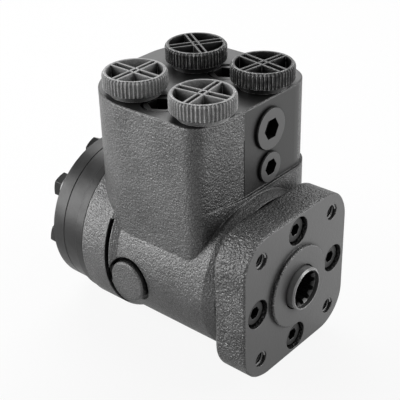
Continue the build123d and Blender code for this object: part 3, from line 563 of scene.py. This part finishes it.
    def _add_normal(self, sheet: NodeSheet, height: Feed | None) -> bpy.types.NodeSocket | None:
        """Adds the rounded edges and the bump.

        Args:
            sheet: The material's sheet.
            height: The relief's height, if the finish has one.

        Returns:
            The bent normal, or None where the finish has neither.
        """
        normal = None
        if self.edge_round:
            normal = sheet.add("Bevel", {"Radius": self.edge_round}, samples=BEVEL_SAMPLES).outputs[0]
        if height is not None:
            distance = self.grain_height or UNEVENNESS.line_depth
            bump = sheet.add("Bump", {"Strength": 1.0, "Distance": distance, "Height": height})
            if normal is not None:
                sheet.feed(bump.inputs["Normal"], normal)
            normal = bump.outputs[0]
        return normal

    def build(self, shelf: GroupShelf) -> bpy.types.Material:
        """Builds the finish as a material.

        Args:
            shelf: Where the shared node groups come from.

        Returns:
            The new material.
        """
        material, sheet = blank_material(self.name)
        shine = {"Metallic": self.metallic, "Specular IOR Level": self.specular}
        surface = sheet.add("BsdfPrincipled", shine)
        ending = sheet.add("OutputMaterial", {"Surface": surface.outputs[0]})
        ending.is_active_output = True
        where = sheet.add("TexCoord").outputs["Object"]
        patches = sheet.noise(where, UNEVENNESS.patch_scale, detail=4.0, roughness=0.6)
        patches = sheet.ramp(patches, *UNEVENNESS.patch_span)
        colour = sheet.mix(patches, opaque(self.shade), opaque(self.colour))
        sheen = sheet.noise(where, UNEVENNESS.sheen_scale, detail=3.0)
        least, most = self.roughness - UNEVENNESS.smoother, self.roughness + UNEVENNESS.rougher
        rough = sheet.ramp(sheen, *UNEVENNESS.sheen_span, least, most)
        colour, height = self._add_relief(sheet, shelf, colour)
        if self.zones:
            colour, mask = self._add_zones(sheet, colour)
            rough = sheet.blend(mask, rough, self.zone_roughness)
            if height is not None:
                grain_left = sheet.ramp(mask, 0.0, 1.0, 1.0, UNEVENNESS.zone_grain)
                height = sheet.math("MULTIPLY", height, grain_left)
        sheet.feed(surface.inputs["Base Color"], self._add_marks(sheet, shelf, colour))
        sheet.feed(surface.inputs["Roughness"], rough)
        normal = self._add_normal(sheet, height)
        if normal is not None:
            sheet.feed(surface.inputs["Normal"], normal)
        return material


def blank_material(name: str) -> tuple[bpy.types.Material, NodeSheet]:
    """Makes a material with no nodes.

    Args:
        name: The material's name.

    Returns:
        The material and the sheet of its node tree.
    """
    material = bpy.data.materials.new(name)
    material.use_nodes = True
    material.node_tree.nodes.clear()
    return material, NodeSheet(material.node_tree)


# The port block's front face from its machined edge to the right, painted darker as shade; a painted shade
# line along that edge; and the top, painted lighter as light.
HOUSING_ZONES = (
    ToneZone("Y", -1.0, 0.08, (("Y", 20.0, 27.4), ("Z", 44.0, 92.0), ("X", -8.0, 60.0))),
    # painted shade: a near-black strip where the machined front face ends
    ToneZone("Y", -1.0, 0.01, (("Y", 20.0, 27.4), ("Z", 45.0, 76.0), ("X", -8.5, -8.0))),
    ToneZone("Z", 1.0, 0.105, (("Z", 88.0, 92.0),)),
)
# The column face.
COVER_ZONES = (ToneZone("Y", -1.0, 0.18, (("Y", -3.0, 1.0),)),)
# The fronts of the sunk screw heads.
SCREW_ZONES = (ToneZone("Y", -1.0, 0.07, (("Y", 0.5, 2.6),)),)
# The faces of the plugs in the block's front and top.
PLUG_ZONES = (
    ToneZone("Y", -1.0, 0.13, (("Y", 24.6, 25.7),)),
    ToneZone("Z", 1.0, 0.13, (("Z", 90.2, 91.0),)),
)

CASTING = Finish(
    "cast_iron_primer", grey(0.155), grey(0.1), roughness=0.4, metallic=0.8,
    grain_scale=1150.0, grain_height=0.00034, speckle=0.6, speckle_colour=grey(0.36),
    wear_and_highlight=0.4, wear_and_highlight_radius=0.0008, wear_and_highlight_colour=grey(0.36), painted_shade=0.95, painted_shade_reach=0.008,
    edge_round=0.0009, zones=HOUSING_ZONES, zone_roughness=0.36,
)
COVER_CASTING = Finish(
    "cast_cover_primer", grey(0.19), grey(0.08), roughness=0.38, metallic=0.8,
    grain_scale=950.0, grain_height=0.0008, speckle=0.65, speckle_colour=grey(0.42),
    wear_and_highlight=0.4, wear_and_highlight_radius=0.0006, wear_and_highlight_colour=grey(0.3), painted_shade=1.0, painted_shade_reach=0.009,
    edge_round=0.0007, zones=COVER_ZONES, zone_roughness=0.36,
)
TURNED = Finish(
    "turned_dark_steel", grey(0.053), grey(0.034), roughness=0.38, metallic=0.8, tool_lines=1.0,
    wear_and_highlight=0.35, wear_and_highlight_radius=0.0003, wear_and_highlight_colour=grey(0.2), painted_shade=1.0, painted_shade_reach=0.0022, edge_round=0.0002,
)
BLACK_OXIDE = Finish(
    "black_oxide_steel", grey(0.02), grey(0.012), roughness=0.36, metallic=0.7,
    grain_scale=2200.0, grain_height=0.00003,
    wear_and_highlight=0.7, wear_and_highlight_radius=0.0004, wear_and_highlight_colour=grey(0.3), painted_shade=0.95, painted_shade_reach=0.006,
    edge_round=0.0003, zones=SCREW_ZONES,
)
PLUG_STEEL = Finish(
    "plug_steel", grey(0.015), grey(0.008), roughness=0.4, metallic=0.6,
    grain_scale=2200.0, grain_height=0.00002,
    wear_and_highlight=0.5, wear_and_highlight_radius=0.0004, wear_and_highlight_colour=grey(0.3), painted_shade=0.95, painted_shade_reach=0.006,
    edge_round=0.0003, zones=PLUG_ZONES,
)
THREAD_STEEL = Finish("thread_steel", grey(0.4), grey(0.3), roughness=0.34, metallic=0.6)
# the spool's bright edges: painted highlight on the pilot and the neck rims, partly wear
SPOOL_STEEL = Finish(
    "spool_steel", grey(0.3), grey(0.24), roughness=0.34, metallic=0.55, tool_lines=0.5,
    wear_and_highlight=1.0, wear_and_highlight_radius=0.0004, wear_and_highlight_colour=grey(0.9), edge_round=0.0003, bore_r=10.6,
)
BRIGHT_STEEL = Finish(
    "ground_steel", grey(0.45), grey(0.32), roughness=0.26, metallic=0.9, tool_lines=1.0,
    wear_and_highlight=0.4, wear_and_highlight_radius=0.0003, wear_and_highlight_colour=grey(0.7), painted_shade=0.9, painted_shade_reach=0.004, edge_round=0.0003,
)
SPRING_STEEL = Finish(
    "spring_steel", grey(0.3), grey(0.2), roughness=0.32, metallic=0.85,
    grain_scale=2500.0, grain_height=0.00001, painted_shade=0.4,
)
RUBBER = Finish(
    "nitrile_rubber", grey(0.02), grey(0.014), roughness=0.6, specular=0.35,
    grain_scale=2600.0, grain_height=0.00002, painted_shade=0.5,
)
WASHER = Finish(
    "sealing_washer", grey(0.2), grey(0.13), roughness=0.4, metallic=0.7,
    grain_scale=2200.0, grain_height=0.00002, wear_and_highlight=0.6, painted_shade=0.7,
)
# the caps' light edges on the knurl and rim: partly wear, partly painted highlight
CAP_GREY = Finish(
    "cap_plastic_grey", grey(0.3), grey(0.18), roughness=0.42,
    grain_scale=1100.0, grain_height=0.00016, speckle=0.4, speckle_colour=grey(0.4),
    wear_and_highlight=1.0, wear_and_highlight_radius=0.0006, wear_and_highlight_colour=grey(0.75), painted_shade=1.0, painted_shade_reach=0.007,
)
CAP_BLACK = Finish(
    "cap_plastic_black", grey(0.016), grey(0.01), roughness=0.32,
    grain_scale=1300.0, grain_height=0.0001,
    wear_and_highlight=1.0, wear_and_highlight_radius=0.0005, wear_and_highlight_colour=grey(0.7), painted_shade=0.95, painted_shade_reach=0.005,
)

PLUG_NODES = ("relief_valve_plug", "check_valve_plug", "shock_valve_plug_left", "shock_valve_plug_right")
SPRING_NODES = ("leaf_springs", "relief_spring", "check_spring", "shock_spring_left", "shock_spring_right")
NODE_FINISHES: dict[str, Finish] = {
    "housing": CASTING,
    "front_cover": COVER_CASTING,
    "spool": SPOOL_STEEL,
    "end_bolt_washers": WASHER,
    **dict.fromkeys(("front_cover_screws", "end_bolts"), BLACK_OXIDE),
    **dict.fromkeys(("distributor_plate", "gear_ring", "end_cover"), TURNED),
    **dict.fromkeys(PLUG_NODES, PLUG_STEEL),
    **dict.fromkeys(SPRING_NODES, SPRING_STEEL),
}
RUBBER_WORDS = ("seal", "o_ring")


class FinishRack:
    """Keeps one material for each finish."""

    def __init__(self) -> None:
        """Starts with an empty rack."""
        self.shelf = GroupShelf()
        self.made: dict[str, bpy.types.Material] = {}

    def get(self, finish: Finish) -> bpy.types.Material:
        """Hands out a finish's material, and builds it first if needed.

        Args:
            finish: Which finish.

        Returns:
            Its material.
        """
        if finish.name not in self.made:
            self.made[finish.name] = finish.build(self.shelf)
        return self.made[finish.name]

    def dress_node(self, name: str, node: bpy.types.Object) -> None:
        """Gives a CAD node the material of its finish.

        Args:
            name: The node's name.
            node: Its object.
        """
        chosen = NODE_FINISHES.get(name)
        if chosen is None:
            chosen = RUBBER if any(word in name for word in RUBBER_WORDS) else BRIGHT_STEEL
        material = self.get(chosen)
        if not node.material_slots:
            node.data.materials.append(material)
        for slot in node.material_slots:
            slot.material = material


# ---------------------------------------------------------------- surfaces
@dataclass
class Shell:
    """Vertices in mm and faces of one closed surface or more."""

    points: np.ndarray = field(default_factory=lambda: np.zeros((0, 3)))
    quads: list[np.ndarray] = field(default_factory=list)
    lids: list[list[int]] = field(default_factory=list)

    def add_tube(self, rings: np.ndarray) -> None:
        """Adds a tube whose rings follow each other and whose two ends are closed.

        Args:
            rings: Points as (ring, place on the ring, xyz); each ring closes on itself.
        """
        count, size, _ = rings.shape
        first = len(self.points)
        index = first + np.arange(count * size).reshape(count, size)
        here, there = index[:-1], index[1:]
        faces = np.stack([here, np.roll(here, -1, axis=1), np.roll(there, -1, axis=1), there], axis=-1)
        self.points = np.vstack([self.points, rings.reshape(-1, 3)])
        self.quads.append(faces.reshape(-1, 4))
        self.lids.append(index[0][::-1].tolist())
        self.lids.append(index[-1].tolist())

    def to_object(
        self, name: str, material: bpy.types.Material, smooth_deg: float = 35.0
    ) -> bpy.types.Object:
        """Turns the shell into an object whose faces point outwards.

        Args:
            name: The piece's name.
            material: Its finish.
            smooth_deg: Edges that turn by more than this stay sharp.

        Returns:
            The new object, at the origin.
        """
        mesh = bpy.data.meshes.new(name)
        faces = np.vstack(self.quads).tolist() + self.lids
        mesh.from_pydata((self.points * MM).tolist(), [], faces)
        mesh.update()
        if signed_volume(mesh) < 0:
            mesh.flip_normals()
        mesh.polygons.foreach_set("use_smooth", np.ones(len(mesh.polygons), bool))
        mesh.set_sharp_from_angle(angle=math.radians(smooth_deg))
        mesh.materials.append(material)
        piece = bpy.data.objects.new(name, mesh)
        bpy.context.scene.collection.objects.link(piece)
        return piece


def signed_volume(mesh: bpy.types.Mesh) -> float:
    """Measures the volume inside a mesh.

    It is a third of the sum over the faces of the centre's height along the normal, times the area.

    Args:
        mesh: A closed mesh.

    Returns:
        Its volume, which is negative where the faces point inwards.
    """
    count = len(mesh.polygons)
    centre, normal, area = np.zeros(count * 3), np.zeros(count * 3), np.zeros(count)
    mesh.polygons.foreach_get("center", centre)
    mesh.polygons.foreach_get("normal", normal)
    mesh.polygons.foreach_get("area", area)
    height = (centre.reshape(-1, 3) * normal.reshape(-1, 3)).sum(axis=1)
    return float((height * area).sum() / 3)


def arc(centre: tuple[float, float], radius: float, start: float, end: float, steps: int = 6) -> np.ndarray:
    """Draws an arc of points: centre + radius (cos a, sin a), a from start to end degrees.

    Args:
        centre: The circle's centre.
        radius: Its radius.
        start: The first point's angle in degrees.
        end: The last point's angle in degrees.
        steps: How many points the arc has.

    Returns:
        The points, one in a row.
    """
    turn = np.radians(np.linspace(start, end, steps))
    return np.column_stack([centre[0] + radius * np.cos(turn), centre[1] + radius * np.sin(turn)])


# ---------------------------------------------------------------- port caps
@dataclass
class PortCap:
    """A thread protector: knurled cup with two crossed pairs of ribs, a neck, and a threaded stem.

    Sizes are in mm. The cap stands on block_top and turns by turn_deg about its own axis.
    """

    name: str
    x: float
    y: float
    turn_deg: float
    finish: Finish
    block_top: float = 91.0
    height: float = 11.9
    rim_height: float = 8.4
    rim_r: float = 16.2
    tooth_depth: float = 0.75
    tooth_sharpness: float = 0.8
    teeth: int = 52
    steps_per_tooth: int = 8
    wall: float = 1.5
    cup_depth: float = 6.5
    cup_round: float = 0.8
    lip_round: float = 0.35
    edge_round: float = 0.5
    shoulder_width: float = 1.3
    shoulder_height: float = 1.5
    plain_points: int = 3
    neck_r: float = 12.8
    neck_edge: float = 0.2
    stem_r: float = 8.1
    stem_length: float = 5.5
    tip_edge: float = 0.8
    tip_plain: float = 0.4
    thread_pitch: float = 1.5
    thread_depth: float = 0.45
    thread_gap: float = 0.05
    thread_rings: int = 44
    lid_r: float = 0.4
    rib_t: float = 1.1
    rib_spacings: tuple[float, float] = (3.0, 4.2)
    rib_drop: float = 0.15
    rib_sink: float = 0.3
    rib_round: float = 0.25
    rib_bite: float = 0.4
    rib_rings: int = 24

    def _profile(self) -> tuple[np.ndarray, np.ndarray, np.ndarray]:
        """Draws the cap's outline from the cup's middle over the rim and the neck to the stem's tip.

        Returns:
            The outline as (radius, height), and the share of knurl and of thread at each of its points.
        """
        base = self.block_top
        top = base + self.height
        rim_bottom = top - self.rim_height
        stem_end = base - self.stem_length
        cup_r = self.rim_r - self.tooth_depth - self.wall
        floor = top - self.cup_depth
        edge = self.edge_round
        side = self.rim_r - edge
        cup = np.vstack([
            [[self.lid_r, floor]],
            arc((cup_r - self.cup_round, floor + self.cup_round), self.cup_round, -90, 0),
            arc((cup_r + self.lip_round, top - self.lip_round), self.lip_round, 180, 90, 4),
        ])
        shoulder = np.vstack([
            arc((self.rim_r - self.shoulder_width, top - edge), edge, 90, 30, 4),
            arc((side, top - self.shoulder_height), edge, 40, 0, 4),
            arc((side, rim_bottom + edge), edge, 0, -90, 5),
        ])
        neck = np.vstack([
            arc((self.neck_r + edge, rim_bottom - edge), edge, 90, 180, 4),
            [[self.neck_r, base + self.neck_edge]],
            [[self.neck_r - self.neck_edge, base]],
            [[self.stem_r, base]],
        ])
        heights = np.linspace(base - self.thread_gap, stem_end + self.tip_plain, self.thread_rings)
        stem = np.column_stack([np.full(heights.size, self.stem_r), heights])
        tip = [[self.stem_r - self.tip_edge, stem_end], [self.lid_r, stem_end]]
        outline = np.vstack([cup, shoulder, neck, stem, tip])
        knurl = np.zeros(len(outline))
        knurl[len(cup) + self.plain_points:len(cup) + len(shoulder) - 1] = 1.0
        thread = np.zeros(len(outline))
        start = len(cup) + len(shoulder) + len(neck)
        thread[start:start + len(stem)] = 1.0
        return outline, knurl, thread

    def _body(self) -> np.ndarray:
        """Turns the outline round the cap's axis.

        Each outline point (r, z) runs round the axis at r - tooth_depth k w(a) - thread_depth t(a, z),
        where k is the share of knurl, w = ((1 - cos(teeth a)) / 2)^tooth_sharpness makes the knurl and
        t = (1 + cos(2 pi z / pitch - a)) / 2, on the stem only, a thread that climbs one pitch in a turn.

        Returns:
            The turned body's rings.
        """
        outline, knurl, thread = self._profile()
        radii, heights = outline[:, 0:1], outline[:, 1:2]
        angle = np.linspace(0, 2 * np.pi, self.teeth * self.steps_per_tooth, endpoint=False)
        wave = ((1 - np.cos(self.teeth * angle)) / 2) ** self.tooth_sharpness
        climb = (1 + np.cos(2 * np.pi * heights / self.thread_pitch - angle[None, :])) / 2
        radius = radii - self.tooth_depth * knurl[:, None] * wave[None, :]
        radius = radius - self.thread_depth * thread[:, None] * climb
        height = np.broadcast_to(heights, radius.shape)
        return np.stack([radius * np.cos(angle), radius * np.sin(angle), height], axis=-1)

    def _rib(self, quarter: int, offset: float) -> np.ndarray:
        """Carries a rounded upright section straight across the cup.

        Args:
            quarter: 0 for a rib along X, 1 for one along Y.
            offset: How far the rib stands from the cup's middle.

        Returns:
            The rib's rings.
        """
        cap_top = self.block_top + self.height
        top = cap_top - self.rib_drop
        floor = cap_top - self.cup_depth - self.rib_sink
        half = self.rib_t / 2
        reach = self.rim_r - self.tooth_depth - self.wall + self.rib_bite
        edge = self.rib_round
        section = np.vstack([
            [[-half - edge, floor]],
            arc((-half + edge, top - edge), edge, 180, 90, 4),
            arc((half - edge, top - edge), edge, 90, 0, 4),
            [[half + edge, floor]],
        ])
        along = np.linspace(-reach, reach, self.rib_rings)
        across = np.broadcast_to(section[None, :, 0] + offset, (along.size, len(section)))
        rise = np.broadcast_to(section[None, :, 1], across.shape)
        run = np.broadcast_to(along[:, None], across.shape)
        order = (run, across, rise) if quarter == 0 else (-across, run, rise)
        return np.stack(order, axis=-1)

    def build(self, rack: FinishRack) -> bpy.types.Object:
        """Builds the cap, which stands for its CAD node and rides on its body.

        Args:
            rack: Where the finish comes from.

        Returns:
            The cap.
        """
        shell = Shell()
        shell.add_tube(self._body())
        for quarter, spacing in enumerate(self.rib_spacings):
            for side in (-1, 1):
                shell.add_tube(self._rib(quarter, side * spacing / 2))
        turn = math.radians(self.turn_deg)
        cosine, sine = math.cos(turn), math.sin(turn)
        spin = np.array([[cosine, -sine, 0], [sine, cosine, 0], [0, 0, 1]])
        shell.points = shell.points @ spin.T + np.array([self.x, self.y, 0.0])
        piece = shell.to_object(f"cap_{self.name}", rack.get(self.finish))
        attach(piece, f"cap_{self.name}")
        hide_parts(f"port_cap_{self.name}")
        return piece


# ---------------------------------------------------------------- column threads
@dataclass
class ColumnThreads:
    """Thread ridges inside the four column bolt holes, in mm. The shares are of the ridge's half width."""

    pcd: float = 82.5
    hole_r: float = 4.25
    crest_r: float = 3.45
    pitch: float = 1.5
    start: float = 1.0
    depth: float = 14.5
    wall_bite: float = 0.2
    root_gap: float = 0.02
    half_width_share: float = 0.3
    root_share: float = 0.95
    crest_share: float = 0.3
    steps_per_turn: int = 40

    def _ridge(self, x: float, z: float) -> np.ndarray:
        """Winds one thread ridge round a hole's axis.

        A six-sided section (r, s) runs along the helix
        x + r cos a, start + pitch a / (2 pi) + s, z + r sin a.

        Args:
            x: The hole's place across the unit.
            z: The hole's height.

        Returns:
            The ridge's rings.
        """
        turns = self.depth / self.pitch
        angle = np.linspace(0, 2 * np.pi * turns, int(turns * self.steps_per_turn))
        wall = self.hole_r + self.wall_bite
        root_r = self.hole_r - self.root_gap
        half = self.pitch * self.half_width_share
        root, crest = half * self.root_share, half * self.crest_share
        section = np.array([
            [wall, -half], [root_r, -root], [self.crest_r, -crest],
            [self.crest_r, crest], [root_r, root], [wall, half],
        ])
        radius = np.broadcast_to(section[None, :, 0], (angle.size, len(section)))
        along = self.start + self.pitch * angle[:, None] / (2 * np.pi) + section[None, :, 1]
        across = x + radius * np.cos(angle)[:, None]
        up = z + radius * np.sin(angle)[:, None]
        return np.stack([across, along, up], axis=-1)

    def build(self, rack: FinishRack) -> bpy.types.Object:
        """Builds all four threads as one piece.

        Args:
            rack: Where the finish comes from.

        Returns:
            The piece.
        """
        reach = self.pcd / 2 / math.sqrt(2)
        shell = Shell()
        for x in (-reach, reach):
            for z in (-reach, reach):
                shell.add_tube(self._ridge(x, z))
        piece = shell.to_object("column_threads", rack.get(THREAD_STEEL))
        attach(piece, "unit")
        return piece


# ---------------------------------------------------------------- studio
def upright_axes(back: np.ndarray) -> tuple[np.ndarray, np.ndarray]:
    """Finds the axes of an upright view.

    Args:
        back: The view's backward axis, of length 1.

    Returns:
        The level axis to its right, and its upward axis.
    """
    right = np.cross((0.0, 0.0, 1.0), back)
    right = right / np.linalg.norm(right)
    return right, np.cross(back, right)


def pose(right: np.ndarray, up: np.ndarray, back: np.ndarray, place: np.ndarray) -> Matrix:
    """Returns the matrix of an object with these three axes at a place."""
    rows = [[right[i], up[i], back[i], place[i]] for i in range(3)]
    return Matrix(rows + [[0, 0, 0, 1]])


@dataclass
class SoftBox:
    """A rectangular lamp that faces the unit and that the camera doesn't see."""

    name: str
    place: tuple[float, float, float]
    size: tuple[float, float]
    watts: float

    def build(self, target: np.ndarray) -> None:
        """Adds the lamp and turns it to the target.

        Args:
            target: The point that it faces.
        """
        lamp = bpy.data.lights.new(self.name, "AREA")
        lamp.shape = "RECTANGLE"
        lamp.size, lamp.size_y = self.size
        lamp.energy = self.watts
        holder = bpy.data.objects.new(self.name, lamp)
        back = np.array(self.place) - target
        back = back / np.linalg.norm(back)
        holder.matrix_world = pose(*upright_axes(back), back, np.array(self.place))
        holder.visible_camera = False
        bpy.context.scene.collection.objects.link(holder)


@dataclass
class Studio:
    """Camera, pale floor, grey sky and soft light, in metres.

    The floor is dark within dark_card_reach of dark_card and the sky is dark within dark_sky_span of
    the direction dark_sky, so that the metal has something dark to mirror.
    """

    target: tuple[float, float, float] = (0.00003, 0.05997, 0.0200)
    azimuth_deg: float = -48.841
    elevation_deg: float = 30.628
    roll_deg: float = -1.499
    distance: float = 0.5199
    lens: float = 88.551
    sensor_width: float = 36.0
    shift: tuple[float, float] = (-0.01328, 0.03335)
    clip_start: float = 0.01
    floor_z: float = -0.0464
    floor_half: float = 3.0
    floor_level: float = 0.86
    floor_white_share: float = 0.9
    dark_card: tuple[float, float, float] = (-0.27, -0.26, -0.0464)
    dark_card_reach: tuple[float, float] = (0.2, 0.44)
    dark_card_level: float = 0.03
    world_level: float = 0.5
    dark_sky: tuple[float, float, float] = (-0.6, 0.1, 0.79)
    dark_sky_span: tuple[float, float] = (0.95, 0.35)
    dark_sky_level: float = 0.04
    lamps: tuple[SoftBox, ...] = (
        SoftBox("softbox_left", (-0.75, 0.75, 0.35), (0.7, 0.8), 9.0),
        SoftBox("softbox_right", (0.55, -0.85, 0.35), (0.6, 0.8), 6.0),
        SoftBox("softbox_top", (0.45, 0.6, 0.9), (0.8, 0.8), 7.0),
    )

    def _camera(self) -> None:
        """Places the camera on its bearing and rolls it about its own axis."""
        bearing, rise, roll = (math.radians(a) for a in (self.azimuth_deg, self.elevation_deg, self.roll_deg))
        level = math.cos(rise)
        back = np.array([math.sin(bearing) * level, -math.cos(bearing) * level, math.sin(rise)])
        right, up = upright_axes(back)
        tilted_right = right * math.cos(roll) + up * math.sin(roll)
        tilted_up = up * math.cos(roll) - right * math.sin(roll)
        data = bpy.data.cameras.new("camera")
        data.sensor_width = self.sensor_width
        data.lens = self.lens
        data.shift_x, data.shift_y = self.shift
        data.clip_start = self.clip_start
        camera = bpy.data.objects.new("camera", data)
        place = np.array(self.target) + back * self.distance
        camera.matrix_world = pose(tilted_right, tilted_up, back, place)
        bpy.context.scene.collection.objects.link(camera)
        bpy.context.scene.camera = camera

    def _floor(self) -> None:
        """Lays a large pale floor with a dark patch; the camera sees it as white but for the shadow."""
        half, z = self.floor_half, self.floor_z
        corners = [(-half, -half, z), (half, -half, z), (half, half, z), (-half, half, z)]
        mesh = bpy.data.meshes.new("floor")
        mesh.from_pydata(corners, [], [(0, 1, 2, 3)])
        material, sheet = blank_material("studio_floor")
        place = sheet.add("TexCoord").outputs["Object"]
        near = sheet.add("VectorMath", {0: place, 1: self.dark_card}, operation="DISTANCE")
        nearness = sheet.ramp(near.outputs["Value"], *self.dark_card_reach)
        dark, pale = opaque(grey(self.dark_card_level)), opaque(grey(self.floor_level))
        tone = sheet.mix(nearness, dark, pale)
        paint = sheet.add("BsdfDiffuse", {"Color": tone})
        glow = sheet.add("Emission", {"Color": opaque(grey(1.0)), "Strength": 1.0})
        share = sheet.math("MULTIPLY", sheet.background_rays(), self.floor_white_share)
        surface = sheet.add("MixShader", {0: share, 1: paint.outputs[0], 2: glow.outputs[0]})
        sheet.add("OutputMaterial", {"Surface": surface.outputs[0]})
        mesh.materials.append(material)
        floor = bpy.data.objects.new("floor", mesh)
        bpy.context.scene.collection.objects.link(floor)

    def _world(self) -> None:
        """Sets a grey sky with a dark side, which the camera sees as plain white."""
        world = bpy.data.worlds.new("studio")
        bpy.context.scene.world = world
        world.use_nodes = True
        world.node_tree.nodes.clear()
        sheet = NodeSheet(world.node_tree)
        towards = sheet.add("TexCoord").outputs["Generated"]
        aim = sheet.add("VectorMath", {0: towards, 1: self.dark_sky}, operation="DOT_PRODUCT")
        levels = (self.dark_sky_level, self.world_level)
        level = sheet.ramp(aim.outputs["Value"], *self.dark_sky_span, *levels)
        sky = sheet.add("Background", {"Color": opaque(grey(1.0)), "Strength": level})
        white = sheet.add("Background", {"Color": opaque(grey(1.0)), "Strength": 1.0})
        seen = sheet.background_rays()
        both = sheet.add("MixShader", {0: seen, 1: sky.outputs[0], 2: white.outputs[0]})
        sheet.add("OutputWorld", {"Surface": both.outputs[0]})

    def build(self) -> None:
        """Builds the camera, the floor, the sky and the lamps."""
        self._camera()
        self._floor()
        self._world()
        for lamp in self.lamps:
            lamp.build(np.array(self.target))
        bpy.context.scene.view_settings.view_transform = "Standard"


# ---------------------------------------------------------------- assembly
PORT_X = 22.7
PORT_FRONT_Y = 39.8
PORT_REAR_Y = 83.2
CAPS = (
    PortCap("left_front", -PORT_X, PORT_FRONT_Y, 8.3, CAP_GREY),
    PortCap("left_rear", -PORT_X, PORT_REAR_Y, 0.0, CAP_GREY),
    PortCap("right_front", PORT_X, PORT_FRONT_Y, -8.0, CAP_BLACK),
    PortCap("right_rear", PORT_X, PORT_REAR_Y, 57.7, CAP_BLACK),
)


def main() -> None:
    """Loads the frame, dresses it and adds the detailed pieces and the studio."""
    logging.basicConfig(level=logging.INFO, format="%(message)s")
    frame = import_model()
    Studio().build()
    rack = FinishRack()
    for name, node in frame["nodes"].items():
        rack.dress_node(name, node)
    for maker in (*CAPS, ColumnThreads()):
        piece = maker.build(rack)
        LOG.info("%s: %d faces", piece.name, len(piece.data.polygons))


if __name__ == "__main__":
    main()
